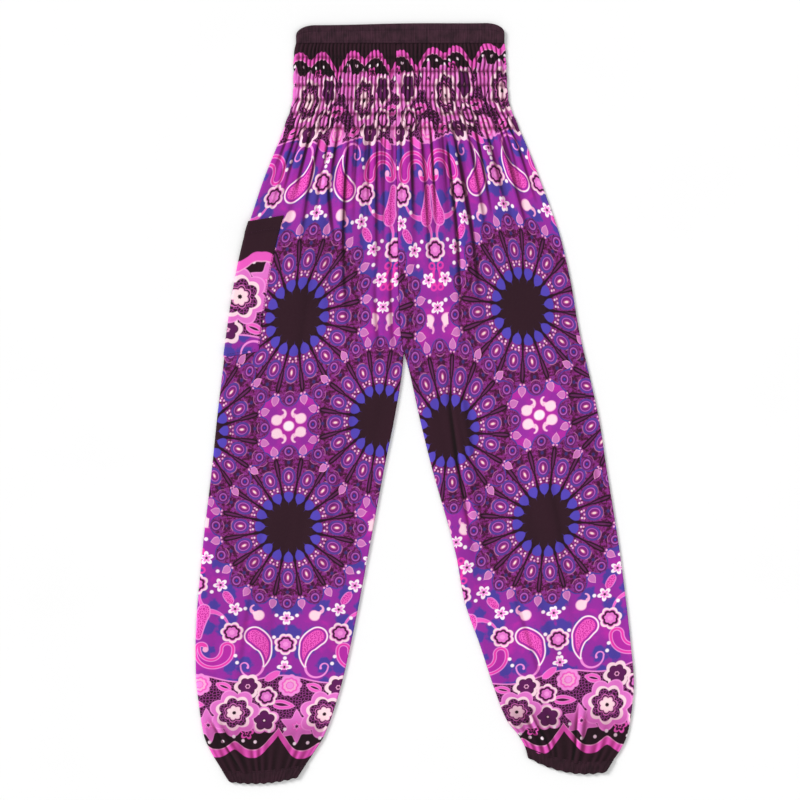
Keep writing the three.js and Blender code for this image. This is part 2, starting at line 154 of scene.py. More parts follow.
rightLeg = {
    "name": "right",
    "ankle": 947,
    "side": {27: 117.5, 48: 119, 88: 121, 107: 123.5, 127: 131.5, 166: 148.5, 206: 164, 245: 178.5,
             284: 191.5, 343: 205, 402: 215, 461: 228.5, 520: 241.5, 579: 250.5, 697: 269, 815: 283,
             864: 287, 893: 285, 933: 278, 952: 269, 966: 259.5, 981: 250.5},
    "inseam": {431: -14, 461: -6, 520: 7, 579: 21.5, 697: 54, 756: 65, 815: 85.5, 874: 105, 913: 120.5,
               933: 136, 947: 144, 962: 148.5},
    "tilt": {756: 0, 815: 3, 854: 8, 893: 13, 947: 18.5, 962: 18.5},
    "bow": {756: 0, 815: 0, 854: 1, 893: 4, 947: 9, 962: 10},
    "printAxis": {0: 70, 101: 80, 166: 90.8, 196: 103.4, 236: 112.4, 372: 140.6, 513: 163, 651: 172,
                  773: 182, 807: 187.7, 920: 194.9, 996: 200},
    "printSeam": {0: -114, 101: -116, 210: -124, 384: -123, 996: -123},
    "printFold": {0: 53, 101: 50, 210: 53, 384: 52.5, 996: 52.5},
    "printTilt": {0: -0.08, 120: -0.08, 372: -0.108, 513: -0.186, 651: -0.145, 743: -0.185, 794: -0.171,
                  860: -0.143, 898: -0.08, 954: -0.01, 996: 0},
    "printRows": {0: -366, 28.8: -338, 55.7: -314, 92.4: -293.5, 198.2: -224, 372: -104, 513.6: 0, 651: 104,
                  807: 224, 1018: 385},
    "printStretch": {0: 1, 372: 1.02, 513: 1.08, 900: 1.075, 945: 1, 996: 0.98},
    "hasPocket": False,
}
# Folds of each front. from, to: where a fold starts and ends, in shares of the width from the
# inner edge. height: of its ridge. steep, gentle: half widths of its two slopes, the steep one
# on the side that lean names. gathered: springs from the last row of elastic thread.
foldColumns = "from to top low height steep gentle lean gathered"
leftFolds = named(foldColumns, [
    (0.07, 0.06, 138, 300, 3.0, 4, 8, 1, 1),
    (0.19, 0.16, 138, 350, 3.8, 4, 10, -1, 1),
    (0.31, 0.26, 138, 270, 3.0, 4, 8, 1, 1),
    (0.44, 0.33, 138, 420, 4.6, 4, 12, -1, 1),
    (0.56, 0.52, 138, 280, 3.2, 4, 9, 1, 1),
    (0.69, 0.65, 138, 320, 3.8, 4, 10, -1, 1),
    (0.81, 0.78, 138, 245, 3.0, 4, 8, 1, 1),
    (0.92, 0.88, 138, 230, 2.4, 4, 7, 1, 1),
    (0.12, 0.10, 300, 470, 1.9, 8, 14, 1, 0),
    (0.30, 0.34, 470, 760, 1.7, 16, 28, -1, 0),
    (0.60, 0.66, 620, 930, 1.8, 14, 26, 1, 0),
    (0.86, 0.90, 470, 620, 1.0, 8, 16, 1, 0),
    (0.92, 0.70, 905, 985, 2.4, 4, 9, 1, 0),
])
rightFolds = named(foldColumns, [
    (0.06, 0.05, 138, 260, 2.8, 4, 8, -1, 1),
    (0.18, 0.15, 138, 330, 3.6, 4, 9, 1, 1),
    (0.30, 0.26, 138, 290, 3.4, 4, 8, -1, 1),
    (0.42, 0.36, 138, 440, 5.4, 4, 13, -1, 1),
    (0.55, 0.51, 138, 300, 3.4, 4, 9, 1, 1),
    (0.67, 0.63, 138, 260, 3.2, 4, 8, -1, 1),
    (0.80, 0.77, 138, 310, 3.6, 4, 9, 1, 1),
    (0.91, 0.87, 138, 240, 2.6, 4, 7, -1, 1),
    (0.24, 0.13, 430, 700, 3.4, 7, 17, -1, 0),
    (0.62, 0.58, 480, 800, 1.7, 16, 28, 1, 0),
    (0.35, 0.42, 700, 920, 1.9, 12, 24, -1, 0),
    (0.88, 0.93, 520, 700, 1.1, 8, 16, 1, 0),
    (0.62, 0.55, 880, 962, 2.6, 4, 9, -1, 0),
    (0.20, 0.30, 890, 962, 2.2, 4, 8, 1, 0),
])
# Deep narrow valleys between pleats: places in shares of the width, as above
grooveColumns = "from to top low depth half"
leftGrooves = named(grooveColumns, [
    (0.94, 0.96, 128, 215, 1.1, 3.2),
    (0.88, 0.87, 132, 250, 1.5, 3.6),
    (0.76, 0.73, 128, 225, 1.3, 3.4),
    (0.60, 0.29, 150, 372, 1.5, 5.0),
    (0.52, 0.49, 126, 240, 1.4, 3.4),
    (0.37, 0.33, 130, 215, 1.0, 3.0),
    (0.23, 0.20, 126, 262, 1.5, 3.6),
    (0.13, 0.11, 130, 228, 1.0, 3.0),
    (0.05, 0.05, 190, 420, 1.2, 4.5),
])
rightGrooves = named(grooveColumns, [
    (0.12, 0.10, 126, 255, 1.4, 3.4),
    (0.20, 0.17, 130, 212, 1.0, 3.0),
    (0.28, 0.25, 126, 262, 1.4, 3.4),
    (0.46, 0.46, 124, 365, 2.2, 5.2),
    (0.37, 0.34, 130, 222, 1.0, 3.0),
    (0.64, 0.61, 126, 250, 1.3, 3.4),
    (0.73, 0.71, 128, 235, 1.2, 3.2),
    (0.85, 0.83, 130, 215, 1.0, 3.0),
    (0.93, 0.92, 126, 236, 1.4, 3.4),
    (0.22, 0.20, 450, 660, 1.1, 6.0),
])
# The same kind of folds on the back of either leg
backFolds = named(foldColumns, [
    (0.12, 0.10, 138, 310, 1.3, 5, 9, 1, 1),
    (0.27, 0.22, 138, 260, 1.2, 5, 8, -1, 1),
    (0.41, 0.37, 138, 380, 1.5, 5, 10, 1, 1),
    (0.58, 0.55, 138, 250, 1.2, 5, 9, -1, 1),
    (0.72, 0.69, 138, 300, 1.3, 5, 9, 1, 1),
    (0.86, 0.84, 138, 235, 1.0, 5, 8, -1, 1),
    (0.35, 0.45, 520, 820, 0.8, 14, 22, 1, 0),
])

pocket = {
    "top": 260,
    "bottom": 438,
    "front": 45,
    "back": 80,
    "slope": 0.17,
    "ease": 20,
    "wall": 1.2,
    "gap": 0.3,
    "hem": 17,
    "hemRaise": 0.7,
    "turned": 2.2,  # how soon its edges come down to the leg
    "gape": 0.5,  # the mouth stands open by this much
    "rows": 112,
    "frontColumns": 30,
    "backColumns": 52,
    "narrowLeg": 190,  # below this width of the leg the pocket is drawn in with it
    # Where the print's big flower falls on the pocket, and the size of the print there
    "flower": {"x": -231, "down": 359.5, "u": 42.8, "v": 293, "unit": 1.6},
}


def hollowness(p, z, shaded):
    # Below 0 where the cloth lies lower than around it, above 0 on its ridges. The material paints shade
    # where it is below 0 and a highlight where it is above; shaded lowers the whole row as extra painted
    # shade.
    window = 11
    around = np.convolve(np.pad(z, window // 2, mode="edge"), np.ones(window) / window, "valid")
    side = np.gradient(p) != 0
    return np.clip((z - around) / 1.05 * side - shaded, -1, 1)


def foldRelief(folds, p, down, width):
    relief = np.zeros_like(p)
    for fold in folds:
        t = (down - fold["top"]) / (fold["low"] - fold["top"])
        if not 0 <= t <= 1:
            continue
        held = smooth(t * 7) * (1 - t * t) if fold["gathered"] else math.sin(math.pi * t)
        across = (p - mix(fold["from"], fold["to"], t) * width) * fold["lean"]
        half = np.where(across > 0, fold["steep"], fold["gentle"]) * (1 + fold["gathered"] * t)
        relief += fold["height"] * held * ridge(across / half)
    return relief


def grooveRelief(grooves, p, down, width):
    relief = np.zeros_like(p)
    for groove in grooves:
        t = (down - groove["top"]) / (groove["low"] - groove["top"])
        if 0 <= t <= 1:
            held = smooth(t * 6) * (1 - t) ** 0.6
            across = (p - mix(groove["from"], groove["to"], t) * width) / groove["half"]
            relief -= groove["depth"] * held * ridge(across)
    return relief


def pocketLift(fromFold, down):
    across = 1 - smooth((fromFold - pocket["back"]) / pocket["ease"])
    along = smooth((down - pocket["top"]) / pocket["ease"] + 1)
    along *= smooth((pocket["bottom"] - down) / pocket["ease"] + 1)
    return (pocket["wall"] + pocket["gap"]) * across * along


def pocketSkew(over, down):  # rows run along the pocket's slanting edges
    beyond = np.maximum(np.maximum(over - pocket["front"], -pocket["back"] - over), 0)
    along = smooth((down - pocket["top"]) / 40 + 1.5) * smooth((pocket["bottom"] - down) / 40 + 1.5)
    reach = np.clip(over, -pocket["back"], pocket["front"])
    return pocket["slope"] * reach * (1 - smooth(beyond / 60)) * along


class Leg:
    # One leg's plan and section. A row lies at one distance down; over is the distance from the
    # side fold, positive on the front and negative round on the back.
    def __init__(self, facts, folds, grooves, seed):
        self.facts = facts
        self.folds = folds
        self.grooves = grooves
        self.side = curveThrough(facts["side"])
        self.inseam = curveThrough(facts["inseam"])
        self.tilt = curveThrough(facts["tilt"])
        self.bow = curveThrough(facts["bow"])
        self.axis = curveThrough(facts["printAxis"])
        self.printTilt = curveThrough(facts["printTilt"])
        self.printSeam = curveThrough(facts["printSeam"])
        self.printFold = curveThrough(facts["printFold"])
        self.printRows = curveThrough(facts["printRows"])
        self.printStretch = curveThrough(facts["printStretch"])
        self.reach = cloth["wall"] + cloth["foldGap"] / 2
        draw = np.random.default_rng(seed)
        self.shifts = draw.uniform(-0.35, 0.35, (cloth["shirringBands"] + 1, 7))
        self.ankleShifts = draw.uniform(-0.25, 0.25, 9)
        self.backShifts = draw.uniform(-0.4, 0.4, 9)

    def inner(self, down):
        return float(centreSeam(down) if down < cloth["crotch"] else self.inseam(down))

    def outer(self, down):
        puff = 0.0
        if down < cloth["shirringEnd"]:
            puff = cloth["puff"] * abs(math.sin(math.pi * self.band(down)))
        side = float(self.side(down + self.tilt(down)))
        return side + math.copysign(puff, side)

    def band(self, down):
        length = cloth["shirringEnd"] - cloth["casingHeight"]
        return max(0, (down - cloth["casingHeight"]) / length * cloth["shirringBands"])

    def width(self, down):
        return abs(self.outer(down) - self.inner(down))

    def gatherTurns(self, share, down, shifts, count):
        band = self.band(down)
        i = min(int(band), len(shifts) - 2)
        drift = mix(shifts[i], shifts[i + 1], smooth(band - i))
        return share * count + np.interp(share, np.linspace(0, 1, len(drift)), drift)

    def shirring(self, share, down, shifts, count):
        # Small gathers that are pinched on each row of thread and wander a little between them
        band = self.band(down)
        fade = 1 - smooth((down - cloth["shirringEnd"]) / 26)
        if fade <= 0:
            return np.zeros_like(share)
        turns = self.gatherTurns(share, down, shifts, count)
        free = abs(math.sin(math.pi * band)) if down < cloth["shirringEnd"] else 0
        held = mix(cloth["pinched"], 1, free)
        uneven = 0.72 + 0.28 * np.sin(share * 41 + int(band) * 1.7)
        return cloth["shirringHeight"] * held * fade * uneven * gather(turns)

    def front(self, p, down, width):  # height of the front's face
        facts = self.facts
        held = 1 - smooth((down - cloth["shirringEnd"]) / cloth["ankleReach"])
        pulled = smooth((down - facts["ankle"]) / cloth["ankleReach"] + 1)
        inward = np.minimum(p, width - p)
        gap = mix(cloth["foldGap"], cloth["layGap"], smooth(inward / cloth["foldEase"]) * (1 - held - pulled))
        share = np.clip((p - self.reach) / (width - 2 * self.reach), 0, 1)
        wander = np.interp(share, np.linspace(0, 1, len(self.ankleShifts)), self.ankleShifts)
        turns = share * cloth["ankleGathers"] + wander
        relief = foldRelief(self.folds, p, down, width) + grooveRelief(self.grooves, p, down, width)
        relief = relief + cloth["ankleHeight"] * pulled**2 * gather(turns)
        relief = relief + self.shirring(share, down, self.shifts, cloth["shirringGathers"])
        lift = pocketLift(width - p, down) if facts["hasPocket"] else 0
        return cloth["wall"] * 2 + gap + lift + relief * smooth(inward / 10 - 0.2)

    def back(self, p, down, width):  # height of the back's face, 0 where it lies on the surface
        inward = np.minimum(p, width - p)
        share = np.clip(p / width, 0, 1)
        pulled = smooth((down - self.facts["ankle"]) / cloth["ankleReach"] + 1)
        wander = np.interp(share, np.linspace(0, 1, len(self.backShifts)), self.backShifts)
        relief = foldRelief(backFolds, p, down, width)
        relief = relief + 0.9 * pulled**2 * gather(share * 13 + wander)
        relief = relief + 0.7 * self.shirring(share, down, self.shifts[::-1], cloth["shirringGathers"] - 2)
        relief = relief + cloth["threadGroove"] * max(ridge((down - row) / 1.8) for row in threadRows)
        lift = pocketLift(width - p, down) if self.facts["hasPocket"] else 0
        return lift + relief * smooth(inward / 12 - 0.3)

    def section(self, down, over):
        # Points of the face at given distances over the side fold, with their outward normals
        width = self.width(down)
        reach = self.reach
        frontP = width - np.maximum(over, reach)
        backP = width + np.minimum(over, -reach)
        angle = np.arcsin(np.clip(over / reach, -1, 1))
        lift = pocketLift(0.0, down) if self.facts["hasPocket"] else 0
        onFront = over >= reach
        onBack = over <= -reach
        p = np.where(onFront, frontP, np.where(onBack, backP, width - reach + reach * np.cos(angle)))
        heights = self.front(frontP, down, width), self.back(backP, down, width)
        z = np.where(onFront, heights[0], np.where(onBack, heights[1], lift + reach * (1 + np.sin(angle))))
        rise = (self.front(frontP + 0.5, down, width) - self.front(frontP - 0.5, down, width))
        length = np.sqrt(1 + rise * rise)
        normalP = np.where(onFront, -rise / length, np.where(onBack, 0, np.cos(angle)))
        normalZ = np.where(onFront, 1 / length, np.where(onBack, -1, np.sin(angle)))
        return p, z, normalP, normalZ

    def place(self, down, p, z, over):
        # Plan position of section points, in millimetres, and the actual distance down
        width = self.width(down)
        share = p / width
        raised = pocketSkew(over, down) if self.facts["hasPocket"] else 0
        inner, outer = self.inner(down), self.outer(down)
        hang = self.tilt(down) * share + 4 * self.bow(down) * share * (1 - share)
        actual = down - raised + hang
        x = mix(inner, outer, share)
        return np.stack([x, garmentLength / 2 - actual, z], -1), actual

    def printOn(self, down, p, actual, onBack):
        # Print coordinates: across from the print's own axis, along from its middle
        width = self.width(down)
        share = np.where(onBack, 2 - p / width, p / width)
        x = mix(self.inner(down), self.outer(down), share)
        level = actual - self.printTilt(actual) * (x - self.axis(actual))
        flat = (x - self.axis(level)) / printUnit / self.printStretch(actual)
        drawn = mix(self.printSeam(actual), self.printFold(actual), share)
        u = mix(drawn, flat, smooth((actual - 350) / 70))
        v = self.printRows(level)
        # Gathers swallow some of the cloth, so the print jumps a little over each
        fade = 1 - smooth((down - cloth["shirringEnd"]) / 30)
        turns = self.gatherTurns(np.clip(p / width, 0, 1), down, self.shifts, cloth["shirringGathers"])
        u = u + fade * cloth["printJump"] * np.sin(2 * np.pi * turns)
        v = v + fade * cloth["printJump"] * 0.8 * np.cos(2 * np.pi * turns + share * 9)
        return u, v

    def rows(self):
        marks = [
            cloth["casingHeight"] - 3, cloth["shirringEnd"] + 4, self.facts["ankle"] - cloth["ankleReach"]
        ]
        marks.append(self.facts["ankle"] + 2)
        rows = [marks[0]]
        for start, end, key in zip(marks, marks[1:], rowSpacing):
            count = round((end - start) / rowSpacing[key])
            rows += list(np.linspace(start, end, count + 1)[1:])
        return rows

    def ends(self, down, t, side):
        # The inner ends: turned down into the centre seam, curled into a tube below the crotch
        width = self.width(down)
        curl = smooth((down - cloth["crotch"]) / cloth["curlReach"])
        reach = np.full_like(t, self.reach)
        if side > 0:
            flat = self.front(reach, down, width) - cloth["rollDown"] * t**2
            curled = self.reach * (1 + np.cos(t * np.pi / 2))
        else:
            flat = self.back(reach, down, width) + 0.8 * t**2
            curled = self.reach * (1 - np.cos(t * np.pi / 2))
        p = mix(reach * (1 - t), reach - self.reach * np.sin(t * np.pi / 2), curl)
        return p, mix(flat, curled, curl)

    def grid(self):
        # All rows of the leg, from the front's inner edge round to the back's
        points, prints = [], []
        angles = np.linspace(np.pi / 2, -np.pi / 2, columns["arc"] + 1)[1:-1]
        steps = np.linspace(0, 1, columns["end"] + 1)[1:]
        for down in self.rows():
            width = self.width(down)
            frontOver = width - np.linspace(self.reach, width - self.reach, columns["front"] + 1)
            backOver = -np.linspace(self.reach, width - self.reach, columns["back"] + 1)
            over = np.r_[frontOver, self.reach * np.sin(angles), backOver]
            p, z, _, _ = self.section(down, over)
            frontEnd = self.ends(down, steps[::-1], 1)
            backEnd = self.ends(down, steps, -1)
            p = np.r_[frontEnd[0], p, backEnd[0]]
            z = np.r_[frontEnd[1], z, backEnd[1]]
            over = np.r_[np.full(len(steps), width), over, np.full(len(steps), -width)]
            place, actual = self.place(down, p, z, over)
            points.append(place)
            u, v = self.printOn(down, p, actual, over < 0)
            # Painted shade for this row: darker among the gathers of the shirring and darkest along each row
            # of elastic thread, with less of it just below the casing
            among = 1 - smooth((down - cloth["shirringEnd"]) / 20)
            pinch = 0.5 * abs(math.cos(math.pi * self.band(down))) ** 8
            shaded = among * (cloth["gatherShade"] + pinch) * mix(0.3, 1, smooth((down - 32) / 18))
            # More painted shade over the last 70 mm above the ankle casing
            shaded += cloth["hemShade"] * smooth((down - self.facts["ankle"] + 70) / 30)
            # Third part of the cloth attribute: the amount of painted shade and painted highlight at each
            # point
            prints.append(np.stack([u, v, hollowness(p, z, shaded)], -1))
        return np.array(points), np.array(prints)


def gridFaces(rows, across, ring=False):
    i = np.arange(rows - 1)[:, None] * across
    j = np.arange(across if ring else across - 1)
    a = i + j
    b = i + (j + 1) % across
    return np.stack([a, a + across, b + across, b], -1).reshape(-1, 4)


def meshPiece(name, points, faces, prints=None):  # points in millimetres
    mesh = bpy.data.meshes.new(name)
    mesh.from_pydata((np.asarray(points).reshape(-1, 3) * metres).tolist(), [], np.asarray(faces).tolist())
    if prints is not None:
        layer = mesh.attributes.new("cloth", "FLOAT_VECTOR", "POINT")
        layer.data.foreach_set("vector", np.asarray(prints, np.float32).ravel())
    mesh.shade_smooth()
    mesh.update()
    piece = bpy.data.objects.new(name, mesh)
    bpy.context.collection.objects.link(piece)
    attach(piece, "root")
    return piece


def faceOutward(piece):
    work = bmesh.new()
    work.from_mesh(piece.data)
    bmesh.ops.recalc_face_normals(work, faces=work.faces)
    work.to_mesh(piece.data)
    work.free()


legs = {
    "left": Leg(leftLeg, leftFolds, leftGrooves, 11),
    "right": Leg(rightLeg, rightFolds, rightGrooves, 23),
}
legPieces = {}
for side, leg in legs.items():
    points, prints = leg.grid()
    faces = gridFaces(*points.shape[:2])
    if side == "right":
        faces = faces[:, ::-1]
    legPieces[side] = meshPiece(f"leg_cloth_{side}", points, faces, prints.reshape(-1, 3))
    print(f"{side} leg: {points.shape[0]} rows of {points.shape[1]}")

# The pocket lies on the left leg's own face, round the side fold
def makePocket(leg):
    reach = leg.reach
    front = np.linspace(pocket["front"], reach, pocket["frontColumns"])
    arc = reach * np.sin(np.linspace(np.pi / 2, -np.pi / 2, columns["arc"] + 1)[1:-1])
    over = np.r_[front, arc, np.linspace(-reach, -pocket["back"], pocket["backColumns"])]
    downs = np.linspace(pocket["top"], pocket["bottom"], pocket["rows"])
    flower = pocket["flower"]
    points, prints = [], []
    for down in downs:
        width = leg.width(down)
        drawn = min(1, width / pocket["narrowLeg"])
        p, z, normalP, normalZ = leg.section(down, over * drawn)
        side = np.minimum(pocket["front"] - over, over + pocket["back"])
        low = pocket["bottom"] - down
        edge = np.sqrt(smooth(np.minimum(side, low) / pocket["turned"] + 0.12))
        below = down - pocket["top"]
        hem = pocket["hemRaise"] * (1 - smooth((below - pocket["hem"]) / 1.5)) * (normalZ > -0.5)
        groove = 0.35 * ridge((below - pocket["hem"] + 1.2) / 1.3)
        gape = pocket["gape"] * np.exp(-below / 14) * smooth(side / 18) * (normalZ > 0.5)
        away = pocket["gap"] + pocket["wall"] * edge + (hem - groove) * edge + gape
        away = np.where(normalZ < -0.5, np.minimum(away, 1.5), away)
        place, actual = leg.place(down, p + normalP * away, z + normalZ * away, over * drawn)
        points.append(place)
        flat = leg.outer(down) - (over * drawn) * math.copysign(1, leg.outer(down))
        u = flower["u"] - (flat - flower["x"]) / flower["unit"]
        v = flower["v"] - (actual - flower["down"]) / flower["unit"]
        prints.append(np.stack([u, v, np.zeros_like(u)], -1))
    # The mouth's edge turns in over its own thickness
    first, _ = legMouth(leg, downs[0], over)
    points.insert(0, first)
    prints.insert(0, prints[0])
    points, prints = np.array(points), np.array(prints)
    piece = meshPiece("pocket_cloth", points, gridFaces(*points.shape[:2]), prints.reshape(-1, 3))
    return piece, points


def legMouth(leg, down, over):
    p, z, normalP, normalZ = leg.section(down, over)
    away = np.where(normalZ < -0.5, 0.3, 0.5)
    return leg.place(down + 0.4, p + normalP * away, z + normalZ * away, over)


pocketPiece, pocketGrid = makePocket(legs["left"])
print("pocket made")

# The waist casing: a turned top edge over flat elastic
casing = {
    "left": -155.5,
    "right": 117.5,
    "height": 27,
    "wall": 2.6,
    "gap": 0.6,
    "cornerAcross": 26,
    "cornerDown": 14,
    "lean": 3.5,
    "ribs": 92,
    "ribHeight": 0.62,
    "stitchLines": (0.36, 0.9),  # share of its height down to each row of stitching
    "columns": 456,
    "backColumns": 200,
}


ringArc = 10  # columns round each side fold of a casing


def ringSection(width, facts):
    # Middle line of a flattened ring: its points, outward normals, and share over the front
    wall = facts["wall"]
    radius = (wall + facts["gap"]) / 2
    reach = radius + wall / 2
    frontP = np.linspace(reach, width - reach, facts["columns"] + 1)
    backP = np.linspace(width - reach, reach, facts["backColumns"] + 1)
    turn = np.linspace(np.pi / 2, -np.pi / 2, ringArc + 1)[1:-1]
    angle = np.r_[np.full(len(frontP), np.pi / 2), turn, np.full(len(backP), -np.pi / 2)]
    angle = np.r_[angle, -np.pi / 2 - np.linspace(0, np.pi, ringArc + 1)[1:-1]]
    centre = np.r_[frontP, np.full(len(turn), width - reach), backP, np.full(len(turn), reach)]
    p = centre + radius * np.cos(angle)
    z = wall / 2 + radius * (1 + np.sin(angle))
    return p, z, np.cos(angle), np.sin(angle), centre / width


def ringRows(levels, sectionAt, placeAt, thicknessAt):
    # Outer rows from the first level to the last, then the inner rows back again
    rows = []
    for face in (1, -1):
        for v in levels if face > 0 else levels[::-1]:
            p, z, normalP, normalZ, share = sectionAt(v)
            away = thicknessAt(v, share, normalZ, face)
            rows.append(placeAt(v, p + normalP * away, z + normalZ * away))
    return np.array(rows)


def ringPiece(name, points):
    # The last row closes on the first
    across = points.shape[1]
    faces = gridFaces(len(points), across, ring=True)
    lastRow = (len(points) - 1) * across
    closing = [(lastRow + j, j, (j + 1) % across, lastRow + (j + 1) % across) for j in range(across)]
    piece = meshPiece(name, points, np.r_[faces, np.array(closing)])
    faceOutward(piece)
    return piece


def makeWaistCasing():
    width = casing["right"] - casing["left"]
    levels = [0, 0.01, 0.03, 0.06, 0.1, 0.18, 0.28, 0.325, 0.345, 0.36, 0.375, 0.395,
              0.45, 0.6, 0.72, 0.8, 0.85, 0.875, 0.9, 0.925, 0.95, 0.985, 1]
    draw = np.random.default_rng(5)
    wander = draw.uniform(-0.5, 0.5, 30)

    def sectionAt(v):
        return ringSection(width, casing)

    def placeAt(v, p, z):
        inCorner = np.clip(1 - np.minimum(p, width - p) / casing["cornerAcross"], 0, 1)
        top = casing["cornerDown"] * (1 - np.sqrt(1 - inCorner**2)) + casing["lean"] * (1 - p / width)
        top = top + 0.5 * np.sin(p / 31) * (1 - inCorner)
        down = mix(top, casing["height"] + 0.2, v)
        return np.stack([casing["left"] + p, garmentLength / 2 - down, z], -1)

    def thicknessAt(v, share, normalZ, face):
        half = casing["wall"] / 2
        rounded = math.sqrt(max(0, 1 - (1 - min(v, 0.09) / 0.09) ** 2))
        if face < 0:
            return -half * max(rounded, 0.05) * np.ones_like(share)
        turns = share * casing["ribs"] + np.interp(share, np.linspace(0, 1, 30), wander)
        lively = 0.6 + 0.4 * np.sin(share * 97 + 1.3 + 2.5 * smooth(v * 3))
        rib = casing["ribHeight"] * gather(turns) * lively * smooth(v * 5)
        line = sum(0.55 * ridge((v - place) / 0.035) for place in casing["stitchLines"])
        tuck = 0.9 * smooth((v - 0.94) / 0.06)
        shown = np.where(normalZ > 0.5, rib, 0)
        tuck = np.where(normalZ < -0.5, 0, tuck)
        return half * max(rounded, 0.05) + shown - line - tuck

    points = ringRows(levels, sectionAt, placeAt, thicknessAt)
    seams = [points[levels.index(place)] for place in casing["stitchLines"]]
    return ringPiece("waist_casing_cloth", points), seams


waistPiece, waistSeams = makeWaistCasing()
print("waist casing made")

ankle = {
    "wall": 2.0,
    "gap": 0.6,
    "ribs": 17,
    "ribHeight": 1.1,
    "columns": 170,
    "backColumns": 80,
    "stitchLine": 0.12,
}


def makeAnkleCasing(leg, seed):
    hem = list(leg.facts["inseam"])[-1]
    levels = [0, 0.03, 0.07, 0.1, 0.12, 0.14, 0.18, 0.26, 0.38, 0.5, 0.62, 0.74, 0.84, 0.91, 0.96, 0.985, 1]
    draw = np.random.default_rng(seed)
    wander = draw.uniform(-0.4, 0.4, 14)
    flare = draw.uniform(0.6, 1.0, 14)

    def downAt(v):
        return mix(leg.facts["ankle"] - 0.6, hem, v)

    def sectionAt(v):
        return ringSection(leg.width(downAt(v)), ankle)

    def placeAt(v, p, z):
        down = downAt(v)
        share = p / leg.width(down)
        hang = leg.tilt(down) * share + 4 * leg.bow(down) * share * (1 - share)
        frill = 0.7 * np.sin(share * 2 * np.pi * ankle["ribs"] * 0.5 + 1) * v
        x = mix(leg.inner(down), leg.outer(down), share)
        return np.stack([x, garmentLength / 2 - down - hang - frill, z], -1)

    def thicknessAt(v, share, normalZ, face):
        half = ankle["wall"] / 2
        rounded = max(0.08, math.sqrt(max(0, 1 - (1 - min(1 - v, 0.08) / 0.08) ** 2)))
        if face < 0:
            return -half * rounded * np.ones_like(share)
        turns = share * ankle["ribs"] + np.interp(share, np.linspace(0, 1, 14), wander)
        lively = np.interp(share, np.linspace(0, 1, 14), flare)
        rib = ankle["ribHeight"] * gather(turns) * lively * mix(0.7, 1, v) * rounded
        line = 0.6 * ridge((v - ankle["stitchLine"]) / 0.05)
        shown = np.where(normalZ > 0.5, rib, 0)
        return half * rounded + shown - line

    points = ringRows(levels, sectionAt, placeAt, thicknessAt)
    piece = ringPiece(f"ankle_casing_cloth_{leg.facts['name']}", points)
    return piece, points[levels.index(ankle["stitchLine"])]


anklePieces = {side: makeAnkleCasing(leg, 40 + i) for i, (side, leg) in enumerate(legs.items())}
print("ankle casings made")

# Sewing. Each stitch is a small spindle of thread that lies along its line.
sewing = {
    "corners": 5,
    "shape": {0: 0, 0.12: 0.8, 0.5: 1, 0.88: 0.8, 1: 0},  # how thick a stitch is along its length
    "half": 0.24,
    "casing": {"length": 2.6, "gap": 0.9},
    "shirring": {"length": 2.4, "gap": 1.7},
    "pocket": {"length": 2.4, "gap": 0.8},
    "inset": 3,  # from the ends of a line
    "sunk": 0.2,  # how far the thread's middle lies inside the lowest cloth of a groove on the back
}


def stitched(name, lines, cut):
    # One piece for all the stitches of some lines
    starts, ends = [], []
    for line in lines:
        line = np.asarray(line)
        travelled = np.r_[0, np.cumsum(np.linalg.norm(np.diff(line, axis=0), axis=1))]
        first = np.arange(
            sewing["inset"], travelled[-1] - sewing["inset"] - cut["length"], cut["length"] + cut["gap"]
        )
        for places, where in ((starts, first), (ends, first + cut["length"])):
            places.append(np.stack([np.interp(where, travelled, line[:, k]) for k in range(3)], -1))
    starts, ends = np.concatenate(starts), np.concatenate(ends)
    along = ends - starts
    along = along / np.linalg.norm(along, axis=1)[:, None]
    sideways = np.cross(along, (0, 0, 1))
    sideways = sideways / np.linalg.norm(sideways, axis=1)[:, None]
    upward = np.cross(sideways, along)
    count = sewing["corners"]
    points = []
    for share, thick in sewing["shape"].items():
        for k in range(count if thick else 1):
            turn = 2 * math.pi * k / count
            out = (sideways * math.cos(turn) + upward * math.sin(turn)) * sewing["half"] * thick
            points.append(mix(starts, ends, share) + out)
    total = len(points)
    faces = []
    for k in range(count):
        after = (k + 1) % count
        faces.append((0, 1 + after, 1 + k))
        faces.append((total - 1, total - 1 - count + k, total - 1 - count + after))
        for ring in range(len(sewing["shape"]) - 3):
            low, high = 1 + ring * count, 1 + (ring + 1) * count
            faces += [(low + k, low + after, high + after), (low + k, high + after, high + k)]
    offsets = np.arange(len(starts)) * total
    faces = (np.array(faces)[None] + offsets[:, None, None]).reshape(-1, 3)
    piece = meshPiece(name, np.array(points).transpose(1, 0, 2), faces)
    print(f"{name}: {len(starts)} stitches")
    return piece


def level(heights, window=7):  # a line of thread runs straight over the small ribs
    return np.convolve(np.pad(heights, window // 2, mode="edge"), np.ones(window) / window, "valid")


def aroundRing(seam, facts):
    # The front and back parts of a casing's sewn line
    front = seam[:facts["columns"] + 1].copy()
    start = facts["columns"] + ringArc
    back = seam[start:start + facts["backColumns"] + 1].copy()
    front[:, 2] = level(front[:, 2]) + 0.1
    back[:, 2] = level(back[:, 2]) - sewing["sunk"]
    return [front, back]


def acrossLeg(leg, down):
    # The front and back parts of a row of elastic thread
    width = leg.width(down)
    lines = []
    for turn in (1, -1):
        over = turn * np.arange(leg.reach + 2, width - leg.reach - 1, 0.6)
        p, z, _, _ = leg.section(down, over)
        place, _ = leg.place(down, p, level(z, 5), over)
        place[:, 2] = np.maximum(place[:, 2] + (0.1 if turn > 0 else -sewing["sunk"]), sewing["half"])
        lines.append(place)
    return lines


